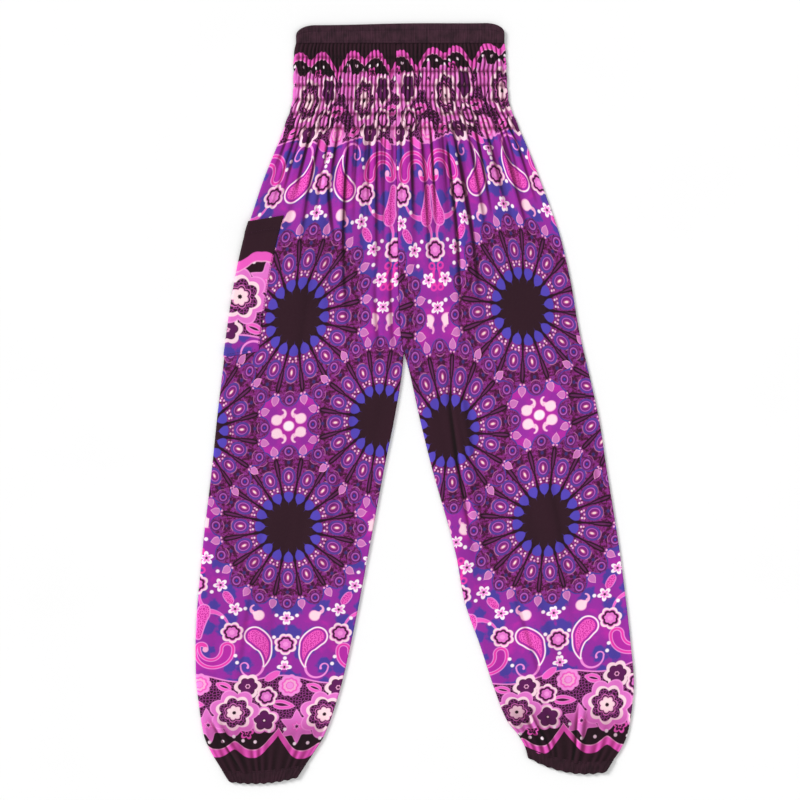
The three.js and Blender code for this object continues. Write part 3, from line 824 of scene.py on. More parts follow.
def roundPocket():
    # Beside the pocket's edges and along its hem, on the front and round the fold
    shown = pocket["frontColumns"] + columns["arc"] // 2
    rowHeight = (pocket["bottom"] - pocket["top"]) / (pocket["rows"] - 1)
    hemRow = 1 + round(pocket["hem"] / rowHeight - 0.5)
    side = pocketGrid[4:-2, 1].copy()
    bottom = pocketGrid[-3, 1:shown].copy()
    hem = pocketGrid[hemRow, 1:shown].copy()
    for line in (side, bottom, hem):
        line[:, 2] = level(line[:, 2], 5) + 0.08
    return [side, bottom, hem]


casingLines = [line for seam in waistSeams for line in aroundRing(seam, casing)]
waistStitching = stitched("waist_stitching", casingLines, sewing["casing"])
ankleStitching, shirringThreads = {}, {}
for side, leg in legs.items():
    lines = aroundRing(anklePieces[side][1], ankle)
    ankleStitching[side] = stitched(f"ankle_stitching_{side}", lines, sewing["casing"])
    lines = [line for row in threadRows for line in acrossLeg(leg, row)]
    shirringThreads[side] = stitched(f"shirring_threads_{side}", lines, sewing["shirring"])
pocketStitching = stitched("pocket_stitching", roundPocket(), sewing["pocket"])


def shade(code):  # a colour as it is mixed in the shader, from its six-figure code
    parts = [int(code[i:i + 2], 16) / 255 for i in (1, 3, 5)]
    return tuple(c / 12.92 if c < 0.04045 else ((c + 0.055) / 1.055) ** 2.4 for c in parts) + (1,)


class Socket:
    # A value in a material: arithmetic on it adds Math nodes
    def __init__(self, finish, socket):
        self.finish = finish
        self.socket = socket

    def maths(self, operation, *others, clamp=False):
        values = dict(enumerate((self, *others)))
        return self.finish.add("ShaderNodeMath", {"operation": operation, "use_clamp": clamp}, values)

    def __add__(self, other):
        return self.maths("ADD", other)

    __radd__ = __add__

    def __mul__(self, other):
        return self.maths("MULTIPLY", other)

    __rmul__ = __mul__

    def __sub__(self, other):
        return self.maths("SUBTRACT", other)

    def __rsub__(self, other):
        return self.finish.add("ShaderNodeMath", {"operation": "SUBTRACT"}, {0: other, 1: self})

    def __truediv__(self, other):
        return self.maths("DIVIDE", other)

    def __abs__(self):
        return self.maths("ABSOLUTE")


class Finish:
    # One material and the nodes that make it
    def __init__(self, name, roughness=0.85, sheen=0.06):
        self.material = bpy.data.materials.new(name)
        self.material.use_nodes = True
        self.tree = self.material.node_tree
        self.shader = self.tree.nodes["Principled BSDF"]
        for key, value in {
            "Roughness": roughness,
            "Specular IOR Level": 0.2,
            "Sheen Weight": sheen,
            "Sheen Roughness": 0.5,
        }.items():
            self.shader.inputs[key].default_value = value

    def add(self, kind, settings=None, values=None, output=0):
        node = self.tree.nodes.new(kind)
        for key, value in (settings or {}).items():
            if key == "stops":
                self.setStops(node.color_ramp, value)
            elif key == "curve":
                self.setCurve(node.mapping, value)
            else:
                setattr(node, key, value)
        for key, value in (values or {}).items():
            if isinstance(value, Socket):
                self.tree.links.new(value.socket, node.inputs[key])
            else:
                node.inputs[key].default_value = value
        return Socket(self, node.outputs[output])

    def setStops(self, ramp, stops):
        ramp.elements[0].position = stops[0][0]
        ramp.elements[0].color = stops[0][1]
        ramp.elements[1].position = stops[-1][0]
        ramp.elements[1].color = stops[-1][1]
        for place, colour in stops[1:-1]:
            ramp.elements.new(place).color = colour

    def setCurve(self, mapping, points):
        line = mapping.curves[0].points
        line[0].location = points[0]
        line[1].location = points[-1]
        for point in points[1:-1]:
            line.new(*point)
        mapping.update()

    def connect(self, key, value):
        self.tree.links.new(value.socket, self.shader.inputs[key])

    # Vectors and colours
    def join(self, x, y, z=0.0):
        return self.add("ShaderNodeCombineXYZ", values={0: x, 1: y, 2: z})

    def part(self, vector, axis):
        return self.add("ShaderNodeSeparateXYZ", values={0: vector}, output=axis)

    def distance(self, point, x, y, z=0.0):
        settings = {"operation": "DISTANCE"}
        return self.add("ShaderNodeVectorMath", settings, {0: point, 1: (x, y, z)}, "Value")

    def length(self, vector):
        return self.add("ShaderNodeVectorMath", {"operation": "LENGTH"}, {0: vector}, "Value")

    def lay(self, under, top, mask):  # one colour over another
        return self.add("ShaderNodeMix", {"data_type": "RGBA"}, {0: mask, 6: under, 7: top}, 2)

    def tint(self, colour, by):
        settings = {"data_type": "RGBA", "blend_type": "MULTIPLY"}
        return self.add("ShaderNodeMix", settings, {0: 1.0, 6: colour, 7: by}, 2)

    def curve(self, value, table, reach, height):
        # A drawn profile: the value's range is 0 to reach, and the profile's 0 to height
        points = [(place / reach, size / height) for place, size in table.items()]
        return self.add("ShaderNodeFloatCurve", {"curve": points}, {"Value": value / reach}) * height

    def ramp(self, value, stops):
        return self.add("ShaderNodeValToRGB", {"stops": stops}, {0: value})

    def rings(self, value, table, soft=0.35):
        # Rings of colour out from a middle. The table gives where each one ends.
        limits = list(table)
        reach = limits[-1]
        stops = []
        for i, limit in enumerate(limits):
            colour = shade(table[limit])
            start = 0 if i == 0 else limits[i - 1] + soft
            stops.append((max(0, start) / reach, colour))
            stops.append((max(start, limit - (soft if i < len(limits) - 1 else 0)) / reach, colour))
        return self.ramp(value / reach, stops)


def within(distance, radius, soft=0.9):  # 1 inside the radius and 0 outside
    return distance.maths("MULTIPLY_ADD", -1 / soft, radius / soft + 0.5, clamp=True)


def beyond(value, limit, soft=0.9):
    return value.maths("MULTIPLY_ADD", 1 / soft, 0.5 - limit / soft, clamp=True)


# The print's colours
hue = {
    "violet": "#962A9C",
    "magenta": "#B428A2",
    "indigo": "#4C3B9C",
    "cream": "#FCD6E2",
    "white": "#FFF0F6",
    "blush": "#F6A8D4",
    "pink": "#F05CC2",
    "hotPink": "#E83CAC",
    "palePink": "#F58EDA",
    "deepPink": "#BC1F90",
    "dark": "#28091E",
    "maroon": "#2E121F",
    "plum": "#5C1655",
    "petal": "#5443B4",
    "orchid": "#E272C8",
    "skin": "#CC74BA",
    "dusk": "#460E3A",
    "ink": "#3A2C6C",
}
# The print's two wheels in its folded grid: one on its axis and one half a repeat away
wheelA = (0, 104)
wheelB = (84, 0)
wheelReach = 86.3  # up and down the cloth
wheelSquash = {"A": 1.17, "B": 1.27}  # how much less far each reaches across the cloth
middleEnd = 124
borderStart = 250


def spot(finish, colour, point, x, y, radius, top, soft=0.9):
    return finish.lay(colour, shade(hue[top]), within(finish.distance(point, x, y), radius, soft))


def spots(finish, colour, point, places, radius, top):  # many equal spots with one mask
    nearest = None
    for x, y in places:
        away = finish.distance(point, x, y)
        nearest = away if nearest is None else nearest.maths("MINIMUM", away)
    return finish.lay(colour, shade(hue[top]), within(nearest, radius))


def petalled(finish, local, petals, depth, turn=0.0):
    # Distance from a motif's middle, in which its petals' rim is a circle
    angle = finish.part(local, "Y").maths("ARCTAN2", finish.part(local, "X"))
    lobe = abs((angle * (petals / 2) + turn).maths("COSINE"))
    return finish.length(local) / (lobe * depth + (1 - depth))


def around(finish, point, x, y):  # the same point, measured from a motif's middle
    return finish.add("ShaderNodeVectorMath", {"operation": "SUBTRACT"}, {0: point, 1: (x, y, 0)})


def petalFlower(finish, colour, local, petals, depth, table, turn=0.0):
    rim = petalled(finish, local, petals, depth, turn)
    reach = list(table)[-1]
    return finish.lay(colour, finish.rings(rim, {k: hue[v] for k, v in table.items()}), within(rim, reach))


def taper(finish, point, start, end, profile):
    # How deep a point lies in a drop with a bent profile from start to end, below 0 outside
    along = (end[0] - start[0], end[1] - start[1])
    length = math.hypot(*along)
    local = around(finish, point, *start)
    settings = {"operation": "DOT_PRODUCT"}
    unit = (along[0] / length, along[1] / length, 0)
    share = finish.add("ShaderNodeVectorMath", settings, {0: local, 1: unit}, "Value")
    share = share.maths("MULTIPLY", 1 / length, clamp=True)
    axis = finish.add("ShaderNodeVectorMath", {"operation": "SCALE"}, {0: (*along, 0), "Scale": share})
    away = finish.add("ShaderNodeVectorMath", {"operation": "DISTANCE"}, {0: local, 1: axis}, "Value")
    height = max(profile.values())
    return finish.curve(share, profile, 1, height) - away


def bow(finish, point, centre, radius, start, end, profile):
    # The same along an arc. Angles in degrees from +a towards +b.
    local = around(finish, point, *centre)
    middle = (start + end) / 2
    angle = finish.part(local, "Y").maths("ARCTAN2", finish.part(local, "X"))
    turned = (angle - math.radians(middle)).maths("WRAP", math.pi, -math.pi)
    span = math.radians(end - start)
    share = turned.maths("MULTIPLY_ADD", 1 / span, 0.5, clamp=True)
    held = (share - 0.5) * span + math.radians(middle)
    x = held.maths("COSINE") * radius
    y = held.maths("SINE") * radius
    nearest = finish.join(x, y)
    away = finish.add("ShaderNodeVectorMath", {"operation": "DISTANCE"}, {0: local, 1: nearest}, "Value")
    return finish.curve(share, profile, 1, max(profile.values())) - away


def banded(finish, colour, depth, table):
    # Bands of colour inwards from a shape's edge
    reach = list(table)[-1]
    return finish.lay(
        colour, finish.rings(depth, {k: hue[v] for k, v in table.items()}, 0.3), beyond(depth, 0)
    )


def dotted(finish, u, v, top, under, size=1.7):
    # Small seeds in rows, as the pink shapes are filled
    seeds = finish.add(
        "ShaderNodeTexVoronoi", {"voronoi_dimensions": "2D"},
        {"Vector": finish.join(u, v), "Scale": 1 / size, "Randomness": 0.7}
    )
    return finish.ramp(
        seeds,
        [(0, shade(hue[top])), (0.22, shade(hue[top])), (0.42, shade(hue[under])), (1, shade(hue[under]))]
    )


def folded(finish, u, v):
    # The print repeats every 168 across and is mirrored about its axes
    a = abs(u.maths("WRAP", 84, -84))
    b = abs(v)
    return a, b, finish.join(a, b)


def printGround(finish, b, point):
    # Violet cloth with soft indigo blots, warmer between the wheels
    noise = finish.add(
        "ShaderNodeTexNoise", {"noise_dimensions": "2D"}, {"Vector": point, "Scale": 0.14, "Detail": 2}
    )
    blots = finish.add(
        "ShaderNodeTexVoronoi",
        {"voronoi_dimensions": "2D"},
        {"Vector": point, "Scale": 1 / 23, "Randomness": 0.75},
    )
    field = blots + (noise - 0.5) * 0.5 + within(b, 128, 22) * 0.34
    stops = [(0, shade(hue["indigo"])), (0.27, shade(hue["indigo"])), (0.4, shade(hue["violet"])),
             (0.6, shade(hue["violet"])), (0.87, shade(hue["magenta"])), (1, shade(hue["magenta"]))]
    return finish.ramp(field, stops)


def daisy(finish, colour, point, x, y):
    local = around(finish, point, x, y)
    return petalFlower(finish, colour, local, 5, 0.56, {1.5: "dark", 4.2: "palePink", 6.9: "white"}, x * 0.3)


wheelEdge = {0: 20, 71: 20, 73: 12.6, 76: 11.2, 79: 9.9, 81.5: 8, 83.5: 5.4, 85: 2.4, 85.6: 0, 110: 0}
wheelDrop = {0: 0, 75.2: 0, 76.2: 2.4, 78.2: 4.0, 80.5: 3.9, 83: 2.5, 85.6: 0.3, 86: 0, 110: 0}


def paintWheels(finish, u, v):
    a, b, point = folded(finish, u, v)
    colour = printGround(finish, b, point)
    # Wheel B lies over wheel A
    across = (wheelB[0] - a) * wheelSquash["B"]
    radius = finish.length(finish.join(across, b))
    angle = abs(across.maths("ARCTAN2", b).maths("WRAP", math.pi / 16, -math.pi / 16))
    rim = finish.curve(angle.maths("COSINE") * radius, wheelEdge, 110, 20) - angle.maths("SINE") * radius
    drop = finish.curve(radius, wheelDrop, 110, 20) - (math.pi / 16 - angle).maths("SINE") * radius
    inB = rim.maths("MAXIMUM", drop).maths("GREATER_THAN", 0) * radius.maths("LESS_THAN", wheelReach)
    x = a * wheelSquash["A"] * (1 - inB) + across * inB
    y = b - (1 - inB) * wheelA[1]
    radius = finish.length(finish.join(x, y))
    angle = abs(x.maths("ARCTAN2", y).maths("WRAP", math.pi / 16, -math.pi / 16))
    x = angle.maths("SINE") * radius  # across the petal, out from its middle line
    y = angle.maths("COSINE") * radius  # along it
    spoke = (math.pi / 16 - angle).maths("SINE") * radius  # across from the spoke between two petals
    inPetal = finish.join(x, y)
    inSpoke = finish.join(spoke, radius)

    # Drops between the petals' tips, with two blue dots at each
    tip = finish.curve(radius, wheelDrop, 110, 20) - spoke
    colour = spot(finish, colour, inSpoke, 2.6, 75.8, 1.9, "petal")
    colour = banded(finish, colour, tip, {0.7: "blush", 1.2: "skin", 5: "skin"})
    # The wheel's own mottled ground, ended by round petals with a thin rim
    settings = {"Vector": point, "Scale": 0.34, "Detail": 3, "Roughness": 0.7}
    ground = finish.add("ShaderNodeTexNoise", {"noise_dimensions": "2D"}, settings)
    ground = ground - within(abs(radius - 67), 4, 5) * 0.09
    tones = [(0.3, "#40102E"), (0.42, "#6B1A58"), (0.52, "#8A2A80"), (0.62, "#8C3290"), (0.72, "#583078")]
    mottled = finish.ramp(ground, [(place, shade(tone)) for place, tone in tones])
    edge = finish.curve(y, wheelEdge, 110, 20) - x
    colour = finish.lay(colour, shade("#453C96"), beyond(edge, 0, 0.8))
    colour = finish.lay(colour, mottled, beyond(edge, 1.5, 0.8))
    # Outer eye
    away = finish.distance(inPetal, 0, 78.4)
    table = {1.4: "#4A3AA4", 2.1: "#2E1034", 3.4: "#7A2878", 4.4: "#B860BC", 5.8: "#5E1E64"}
    colour = finish.lay(colour, finish.rings(away, table), within(away, 5.8))
    # A dark star between pale arcs
    colour = spots(finish, colour, inPetal, [(2.6, 64.6), (2.8, 69.4)], 1.9, "dusk")
    colour = spot(finish, colour, inPetal, 0, 67, 1.8, "ink")
    arc = abs(finish.distance(inPetal, 0, 55) - 6.9)
    colour = finish.lay(colour, shade("#CE7C9C"), within(arc, 0.45, 0.7) * beyond(y, 60))
    arc = abs(finish.distance(inPetal, 0, 76.5) - 6.6)
    colour = finish.lay(colour, shade("#B0609C"), within(arc, 0.4, 0.7) * within(y, 72))
    # Inner eye
    eye = finish.length(finish.join(x * 1.3, y - 52.2))
    table = {2.2: "#9C2680", 4.3: "#822076", 5.6: "#7A2278", 6.6: "#B65EC0", 7.4: "#6C2474", 9.6: "#563C96"}
    colour = finish.lay(colour, finish.rings(eye, table), within(eye, 9.6, 1.2))
    seed = finish.length(finish.join(x * 2.2, y - 52))
    colour = finish.lay(colour, finish.rings(seed, {2.1: "#F8DCD8", 3.5: "#C8649A"}), within(seed, 3.5))
    # Beads at the foot of each petal
    colour = spot(finish, colour, inPetal, 3.2, 38.6, 1.0, "cream", 0.8)
    colour = spots(finish, colour, inPetal, [(0, 41.4), (3.9, 41.2)], 1.0, "blush")
    # Dark core, spokes and their beads
    outline = {0: 20, 21: 20, 23: 5, 26: 3.6, 30: 2.7, 35: 1.8, 41: 1.1, 49: 1.2, 55: 2.2, 68: 2.6, 71: 2.2,
               72.6: 0, 110: 0}
    spread = finish.curve(radius, outline, 110, 20) - spoke
    colour = finish.lay(colour, shade(hue["dark"]), beyond(spread, 0))
    line = finish.curve(radius, {0: 0, 50: 0, 54: 0.6, 68: 0.8, 71: 0, 110: 0}, 110, 20) - spoke
    colour = finish.lay(colour, shade("#64225A"), beyond(line, 0, 0.7))
    colour = spot(finish, colour, inSpoke, 1.9, 73.8, 1.05, "blush")
    colour = finish.lay(colour, shade(hue["maroon"]), within(radius, 27))
    outline = {0: 0, 24.4: 0, 26.2: 1.7, 29: 3.8, 31.8: 4.9, 34: 4.9, 35.6: 3.8, 36.4: 1.5, 36.8: 0, 110: 0}
    petal = finish.curve(y, outline, 110, 20) - x
    colour = finish.lay(colour, shade(hue["petal"]), beyond(petal, 0))
    return finish.lay(colour, shade(hue["maroon"]), within(radius, 21.5))


def creamDrop(finish, colour, point, start, end, size):
    profile = {0: size, 0.35: size * 0.86, 0.7: size * 0.46, 1: size * 0.24}
    drop = taper(finish, point, start, end, profile)
    return banded(finish, colour, drop, {0.9: "blush", 7: "cream"})


def paintMiddle(finish, u, v):
    # What lies between the wheels: a dot with four curled drops round it, and drops beside the axis
    _, b, point = folded(finish, u, v)
    colour = printGround(finish, b, point)
    curl = bow(finish, point, (7.0, 13.0), 3.7, 112, 238, {0: 0.9, 0.5: 1.3, 1: 2.2})
    colour = banded(finish, colour, curl, {0.5: "blush", 3: "cream"})
    colour = creamDrop(finish, colour, point, (10.9, 6.8), (5.2, 9.8), 5.5)
    colour = spot(finish, colour, point, 0, 0, 5.2, "blush")
    colour = spot(finish, colour, point, 0, 0, 4.5, "white")
    curl = bow(finish, point, (75.8, 92.6), 3.5, -40, 70, {0: 0.8, 0.6: 1.2, 1: 1.8})
    colour = finish.lay(colour, shade(hue["blush"]), beyond(curl, 0, 0.7))
    colour = creamDrop(finish, colour, point, (75.2, 101), (77.8, 95.4), 5.8)
    colour = spots(finish, colour, point, [(76, 118), (66, 114)], 1.8, "white")
    return daisy(finish, colour, point, 84, 112)


def paintOuterMotifs(finish, colour, point, u, v):
    # Shapes that the middle of the cloth and its borders share
    fill = dotted(finish, u, v, "deepPink", "pink")
    profile = {0: 3.2, 0.3: 4.8, 0.6: 6.0, 0.85: 7.2, 1: 7.2}
    hook = bow(finish, point, (67.5, 230.5), 13.8, -5, 186, profile)
    curl = bow(finish, point, (77.6, 228.6), 3.9, -180, 5, {0: 2.3, 1: 3.0})
    hook = hook.maths("MAXIMUM", curl)
    colour = banded(finish, colour, hook, {0.8: "palePink", 2.8: "hotPink", 3.5: "palePink", 8: "magenta"})
    colour = spot(finish, colour, point, 74.0, 230, 2.7, "blush")
    tail = bow(finish, point, (30, 246.5), 10.5, 0, 180, {0: 0.7, 0.5: 0.9, 1: 1.2})
    curl = bow(finish, point, (37.1, 246.6), 3.6, -200, 0, {0: 1.2, 0.3: 0.7, 1: 0.7})
    colour = finish.lay(colour, shade(hue["palePink"]), beyond(tail.maths("MAXIMUM", curl), 0, 0.7))
    profile = {0: 9.8, 0.3: 9.4, 0.5: 6.8, 0.7: 4.8, 0.85: 3.0, 1: 1.1}
    drop = bow(finish, point, (43, 237.5), 25.7, 237.4, 160, profile)
    colour = banded(
        finish, colour, drop, {1.2: "white", 1.7: "pink", 3.4: "violet", 3.9: "hotPink", 12: "pink"}
    )
    return finish.lay(colour, fill, beyond(drop, 4.0))


def paintMotifs(finish, u, v):
    _, b, point = folded(finish, u, v)
    colour = printGround(finish, b, point)
    # Stalks on the line between two repeats
    fill = dotted(finish, u, v, "deepPink", "pink")
    branch = bow(finish, point, (72, 210), 19, 200, 264, {0: 0.9, 0.5: 1.6, 1: 2.6})
    other = bow(finish, point, (66, 176), 15, -20, 40, {0: 0.9, 0.5: 1.3, 1: 2.2})
    colour = banded(finish, colour, branch.maths("MAXIMUM", other), {0.5: "palePink", 3: "pink"})
    profile = {0: 6.0, 0.15: 6.6, 0.35: 5.4, 0.6: 4.2, 1: 3.2}
    stalk = taper(finish, point, (76.6, 189.5), (81, 217), profile)
    colour = banded(finish, colour, stalk, {0.9: "palePink", 12: "pink"})
    colour = finish.lay(colour, fill, beyond(stalk, 1.1))
    leaf = taper(finish, point, (58.6, 170.6), (50.6, 183), {0: 0.6, 0.5: 4.0, 1: 0.6})
    colour = banded(finish, colour, leaf, {0.7: "palePink", 5: "pink"})
    colour = finish.lay(colour, fill, beyond(leaf, 0.9))
    # Scrolls between the wheels
    curl = abs(finish.distance(point, 79.6, 149) - 2.7).maths(
        "MINIMUM", abs(finish.distance(point, 80.6, 130) - 2.6)
    )
    colour = finish.lay(colour, shade(hue["hotPink"]), within(curl, 0.9))
    stem = bow(finish, point, (92, 139), 12, 142, 222, {0: 0.8, 0.5: 1.6, 1: 0.8})
    colour = finish.lay(colour, shade(hue["hotPink"]), beyond(stem, 0, 0.7))

    colour = paintOuterMotifs(finish, colour, point, u, v)
    curl = bow(finish, point, (29.8, 188), 3.6, -75, 50, {0: 0.7, 0.5: 1.0, 1: 1.8})
    colour = finish.lay(colour, shade(hue["blush"]), beyond(curl, 0, 0.7))
    colour = creamDrop(finish, colour, point, (26, 194.6), (31.4, 191.8), 5.6)
    # Rosettes
    for x, y, turn in ((50, 212.5, 0.4), (0, 224, 1.2), (84, 163, 0)):
        local = around(finish, point, x, y)
        table = {2.6: "palePink", 5.6: "orchid", 7.8: "dusk", 8.7: "orchid", 10.9: "cream"}
        colour = petalFlower(finish, colour, local, 7, 0.17, table, turn)
    for x, y in ((0, 197.5), (48, 188.5), (0, 247), (62, 164), (75.5, 137)):
        colour = daisy(finish, colour, point, x, y)
    places = [
        (38.5, 188), (70, 171), (59.5, 197), (9.5, 194.7), (11, 217), (46, 236), (44, 243), (0, 238),
        (65, 150)
    ]
    return spots(finish, colour, point, places, 1.7, "white")


hemLobes = {0: 11.5, 3: 16, 9: 23.5, 13: 28.5, 18: 32.6, 22: 33.8, 30: 33, 36: 29.4, 40: 26.4, 42: 25.6}
pocketLobe = {0: 26, 6: 25.6, 12: 21.5, 17: 18.5, 22: 16, 30: 12, 42: 6}  # one arch over the pocket


def paintBorder(finish, u, v, lobes=hemLobes, shift=0):
    _, b, point = folded(finish, u, v)
    colour = printGround(finish, b, point)
    colour = paintOuterMotifs(finish, colour, point, u, v)

    def at(x, y):  # measured from a motif that comes once in each repeat of 84
        return finish.join((u - x).maths("WRAP", 42, -42), b - y)

    def blossom(colour, x, y, petals, depth, table, turn):
        return petalFlower(finish, colour, at(x, y), petals, depth, table, turn)

    def leaf(colour, x, y, start, end, profile, table):
        return banded(finish, colour, taper(finish, at(x, y), start, end, profile), table)

    # Netting, then the plain dark strip before the band
    wave = (u * (math.pi / 42)).maths("COSINE") * 3.4 + b
    settings = {"voronoi_dimensions": "2D", "feature": "DISTANCE_TO_EDGE"}
    net = finish.add(
        "ShaderNodeTexVoronoi", settings, {"Vector": finish.join(u, v), "Scale": 0.36, "Randomness": 0.8}
    )
    tones = [(0, "#A04894"), (0.09, "#762468"), (0.2, "#360A2A"), (1, "#26061C")]
    net = finish.ramp(net, [(place, shade(tone)) for place, tone in tones])
    colour = finish.lay(colour, shade(hue["palePink"]), beyond(wave, 258.2))
    colour = finish.lay(colour, net, beyond(wave, 259.5))
    colour = finish.lay(colour, shade("#240818"), beyond(b, 312, 3))

    # Small motifs first, the big flower last
    colour = leaf(
        colour, -10.3, 256, (-6.5, 4.5), (6.5, -4.5), {0: 0.5, 0.45: 3.8, 1: 0.4},
        {0.7: "palePink", 5: "pink"}
    )
    eyed = {0.7: "palePink", 2.8: "pink", 3.4: "palePink", 6: "dusk"}
    colour = leaf(colour, 29.8, 267, (-6, -2), (6.5, 3), {0: 2.0, 0.5: 4.4, 1: 0.4}, eyed)
    pale = {3.2: "palePink", 4.0: "pink", 6.4: "blush", 8.2: "pink", 11.2: "palePink"}
    colour = blossom(colour, 6.7, 265.4, 9, 0.13, pale, 0.3)
    colour = leaf(colour, 2.8, 284.5, (-10, -0.8), (10, 1.5), {0: 0.6, 0.3: 4.8, 0.6: 4.1, 1: 0.4}, eyed)
    colour = blossom(
        colour, -14.2, 276.8, 6, 0.18,
        {2.6: "palePink", 5.2: "orchid", 7.4: "dusk", 8.2: "orchid", 10.4: "cream"}, 0.9
    )
    ring = {1.5: "dusk", 2.4: "blush", 8.4: "plum", 9.2: "dusk", 12.8: "cream"}
    colour = blossom(colour, -32.3, 266.7, 6, 0.2, ring, 0.2)
    ring = {1.1: "cream", 2.0: "dark", 9.4: "plum", 10.2: "dusk", 12.4: "cream", 14.2: "palePink"}
    colour = blossom(colour, -14.3, 300.6, 5, 0.26, ring, 1.0)
    colour = blossom(colour, -30.5, 313, 5, 0.42, {1.3: "dark", 2.2: "pink", 4.9: "dusk", 7.0: "pink"}, 0.5)
    # Pointed lily beside the big flower
    lily = {1.2: "dusk", 2.4: "palePink", 3.2: "pink", 9.0: "orchid", 9.9: "palePink"}
    colour = blossom(colour, 17.0, 306, 6, -0.75, lily, 0.35)
    big = at(41.3, 293.4)
    colour = petalFlower(finish, colour, big, 7, 0.22, {18.0: "cream", 22.6: "orchid", 23.9: "palePink"}, 0.5)
    rim = petalled(finish, big, 7, 0.22, 0.1)
    colour = finish.lay(colour, net, within(rim, 15.8))
    heart = {1.9: "#2A0C1E", 6.8: "#FCD9E0", 7.6: "#E48CC4", 9.0: "#2E0E28", 9.9: "#DC70BC"}
    colour = finish.lay(colour, finish.rings(rim, heart), within(rim, 9.9))
    colour = finish.lay(colour, shade(hue["cream"]), within(abs(rim - 16.2), 0.9))
    # White beads along the band
    beads = None
    for x, y in ((-9, 311), (6, 309), (17, 323), (30, 322), (41, 317), (50, 321), (-22, 322)):
        away = finish.length(at(x, y))
        beads = away if beads is None else beads.maths("MINIMUM", away)
    colour = finish.lay(colour, shade(hue["white"]), within(beads, 1.6))
    # The scalloped band, and the plain cloth outside it
    middle = abs((u - shift).maths("WRAP", 42, -42))
    line = finish.curve(middle, lobes, 42, 50)
    fromBand = b - 300 - line
    colour = finish.lay(colour, shade(hue["blush"]), beyond(fromBand, -4.2))
    colour = finish.lay(colour, shade("#EA58BE"), beyond(fromBand, -3.3))
    return finish.lay(colour, shade(hue["maroon"]), beyond(fromBand, 4.0))


def paintPocket(finish, u, v):
    return paintBorder(finish, u, v, pocketLobe, 23.6)


def paintedShadeAndHighlight(finish, colour, hollow):
    # Painted shade and painted highlight: hollows are painted a deeper, redder colour and ridges a little
    # paler
    tone = [
        (0, (0.1, 0.04, 0.07, 1)),
        (0.25, (0.42, 0.26, 0.34, 1)),
        (0.42, (0.82, 0.72, 0.78, 1)),
        (0.5, (1, 1, 1, 1)),
        (0.75, (1.1, 1.06, 1.09, 1)),
        (1, (1.18, 1.13, 1.17, 1)),
    ]
    tone = finish.ramp(hollow * 0.5 + 0.5, tone)
    return finish.tint(colour, tone)


def clothSurface(finish, colour, scale=1.0):
    # Weave, soft crumples and a little fading, the same on every printed piece
    place = finish.add("ShaderNodeTexCoord", output="Object")
    fade = finish.add("ShaderNodeTexNoise", {}, {"Vector": place, "Scale": 9, "Detail": 2})
    fade = finish.ramp(fade, [(0.3, (0.9, 0.9, 0.92, 1)), (0.7, (1.06, 1.05, 1.06, 1))])
    colour = finish.tint(colour, fade)
    finish.connect("Base Color", colour)
    x, y = finish.part(place, "X"), finish.part(place, "Y")
    weave = (x * 5200).maths("SINE") * (y * 5200).maths("SINE")
    crumple = finish.add(
        "ShaderNodeTexNoise", {}, {"Vector": place, "Scale": 60, "Detail": 4, "Roughness": 0.6}
    )
    height = crumple * 1.4 + weave * 0.06
    bump = finish.add("ShaderNodeBump", {}, {"Strength": 0.35 * scale, "Distance": 0.0012, "Height": height})
    finish.connect("Normal", bump)
    rough = finish.add("ShaderNodeTexNoise", {}, {"Vector": place, "Scale": 300, "Detail": 1})
    finish.connect("Roughness", rough * 0.12 + 0.78)


def printedCloth(name, paint):
    finish = Finish(name)
    printed = finish.add("ShaderNodeAttribute", {"attribute_name": "cloth"}, output="Vector")
    colour = paint(finish, finish.part(printed, "X"), finish.part(printed, "Y"))
    # The third part of the cloth attribute sets the painted shade in the hollows and the painted highlight on
    # the ridges
    clothSurface(finish, paintedShadeAndHighlight(finish, colour, finish.part(printed, "Z")))
    return finish.material


def plainCloth(name, code, dark):
    finish = Finish(name, 0.9, 0.08)
    place = finish.add("ShaderNodeTexCoord", output="Object")
    tone = finish.add("ShaderNodeTexNoise", {}, {"Vector": place, "Scale": 120, "Detail": 3})
    # Fine streaks up and down, where the cloth is drawn together
    streaks = finish.add("ShaderNodeVectorMath", {"operation": "MULTIPLY"}, {0: place, 1: (900, 60, 60)})
    streaks = finish.add("ShaderNodeTexNoise", {}, {"Vector": streaks, "Scale": 1, "Detail": 2})
    tone = tone * 0.5 + streaks * 0.5
    colour = finish.ramp(tone, [(0.38, shade(dark)), (0.62, shade(code))])
    clothSurface(finish, colour, 1.3)
    return finish.material


printMaterials = [
    printedCloth("printed cloth, wheels", paintWheels),
    printedCloth("printed cloth, motifs", paintMotifs),
    printedCloth("printed cloth, border", paintBorder),
    printedCloth("printed cloth, middle", paintMiddle),
]
pocketMaterials = [*printMaterials[:2], printedCloth("pocket cloth, border", paintPocket), printMaterials[3]]
casingMaterial = plainCloth("waist casing cloth", "#432432", "#2B1620")
ankleMaterial = plainCloth("ankle casing cloth", "#341724", "#220E17")
threadMaterial = plainCloth("sewing thread", "#4C2440", "#341628")
print("materials made")


def dressInPrint(piece, materials):
    # Each face takes the part of the print that it lies in
    mesh = piece.data
    for material in materials:
        mesh.materials.append(material)
    prints = np.zeros(len(mesh.vertices) * 3, np.float32)
    mesh.attributes["cloth"].data.foreach_get("vector", prints)
    corners = np.zeros(len(mesh.polygons) * 4, np.int32)
    mesh.polygons.foreach_get("vertices", corners)
    middle = prints.reshape(-1, 3)[corners.reshape(-1, 4)].mean(1)
    a = np.abs((middle[:, 0] + 84) % 168 - 84)
    b = np.abs(middle[:, 1])
    near = np.inf
    for (x, y), squash in ((wheelA, wheelSquash["A"]), (wheelB, wheelSquash["B"])):
        near = np.minimum(near, np.hypot((a - x) * squash, b - y))
    outside = np.select([b < middleEnd, b < borderStart], [3, 1], 2)
    slots = np.where(near < wheelReach, 0, outside).astype(np.int32)
    mesh.polygons.foreach_set("material_index", slots)
    mesh.update()


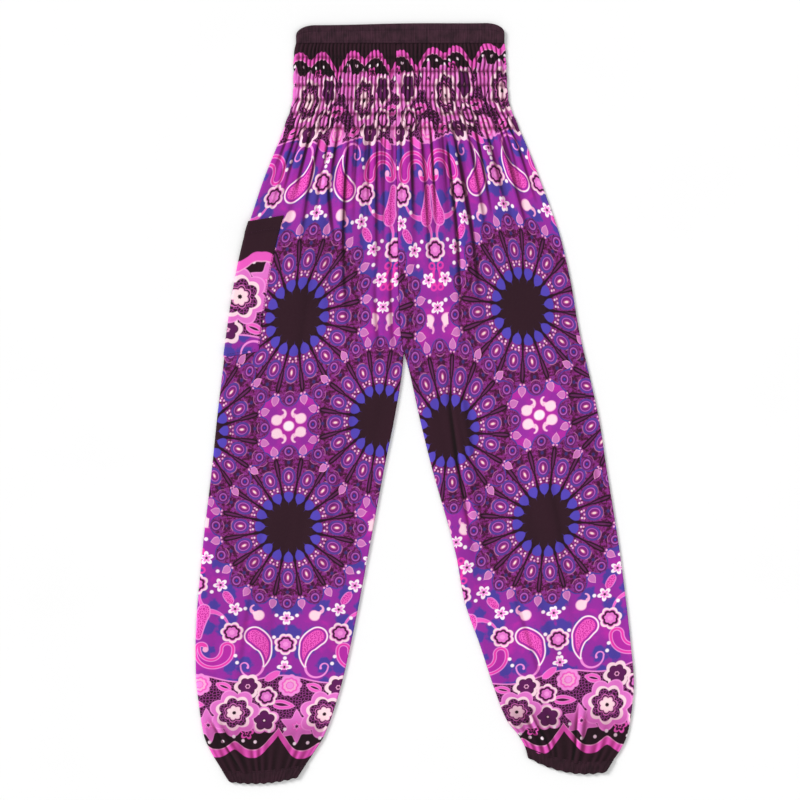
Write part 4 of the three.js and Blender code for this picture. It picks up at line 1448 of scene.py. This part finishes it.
for side in legPieces:
    dressInPrint(legPieces[side], printMaterials)
    anklePieces[side][0].data.materials.append(ankleMaterial)
dressInPrint(pocketPiece, pocketMaterials)
waistPiece.data.materials.append(casingMaterial)
for piece in (waistStitching, pocketStitching, *ankleStitching.values(), *shirringThreads.values()):
    piece.data.materials.append(threadMaterial)

# Hide the frame's own legs, ankle casings, pocket and waist casing
for side, flat, area in (("left", (0.44, 0.975), 0.405), ("right", (0.465, 0.955), 0.41)):
    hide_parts(f"leg_{side}")
    piece = anklePieces[side][0]
    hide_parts(f"ankle_casing_{side}")
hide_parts("side_pocket")
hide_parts("waist_casing")

# Floor and light
floorSize = {"half": 4, "below": 0.0003}  # metres
floorMesh = bpy.data.meshes.new("floor")
corners = [(x * floorSize["half"], y * floorSize["half"]) for x, y in ((-1, -1), (1, -1), (1, 1), (-1, 1))]
floorMesh.from_pydata([(x, y, -floorSize["below"]) for x, y in corners], [], [(0, 1, 2, 3)])
floor = bpy.data.objects.new("floor", floorMesh)
bpy.context.collection.objects.link(floor)
floorFinish = Finish("pale floor", 0.9, 0)
speckle = floorFinish.add("ShaderNodeTexNoise", {}, {"Scale": 40, "Detail": 2})
floorFinish.connect(
    "Base Color", floorFinish.ramp(speckle, [(0, (0.92, 0.92, 0.92, 1)), (1, (0.95, 0.95, 0.95, 1))])
)
floorMesh.materials.append(floorFinish.material)

lights = [
    {"name": "key", "from": (-1.0, 0.75, 0.95), "strength": 2.1, "softness": 22},
    {"name": "fill", "from": (0.8, -0.5, 1.6), "strength": 0.62, "softness": 60},
]
for light in lights:
    lamp = bpy.data.lights.new(light["name"], "SUN")
    lamp.energy = light["strength"]
    lamp.angle = math.radians(light["softness"])
    holder = bpy.data.objects.new(light["name"], lamp)
    bpy.context.collection.objects.link(holder)
    holder.location = light["from"]
    holder.rotation_euler = holder.location.to_track_quat("Z", "Y").to_euler()
world = bpy.data.worlds.new("studio")
bpy.context.scene.world = world
world.use_nodes = True
world.node_tree.nodes["Background"].inputs["Color"].default_value = (1, 1, 1, 1)
world.node_tree.nodes["Background"].inputs["Strength"].default_value = 0.5
bpy.context.scene.view_settings.view_transform = "Standard"
print("scene lit")
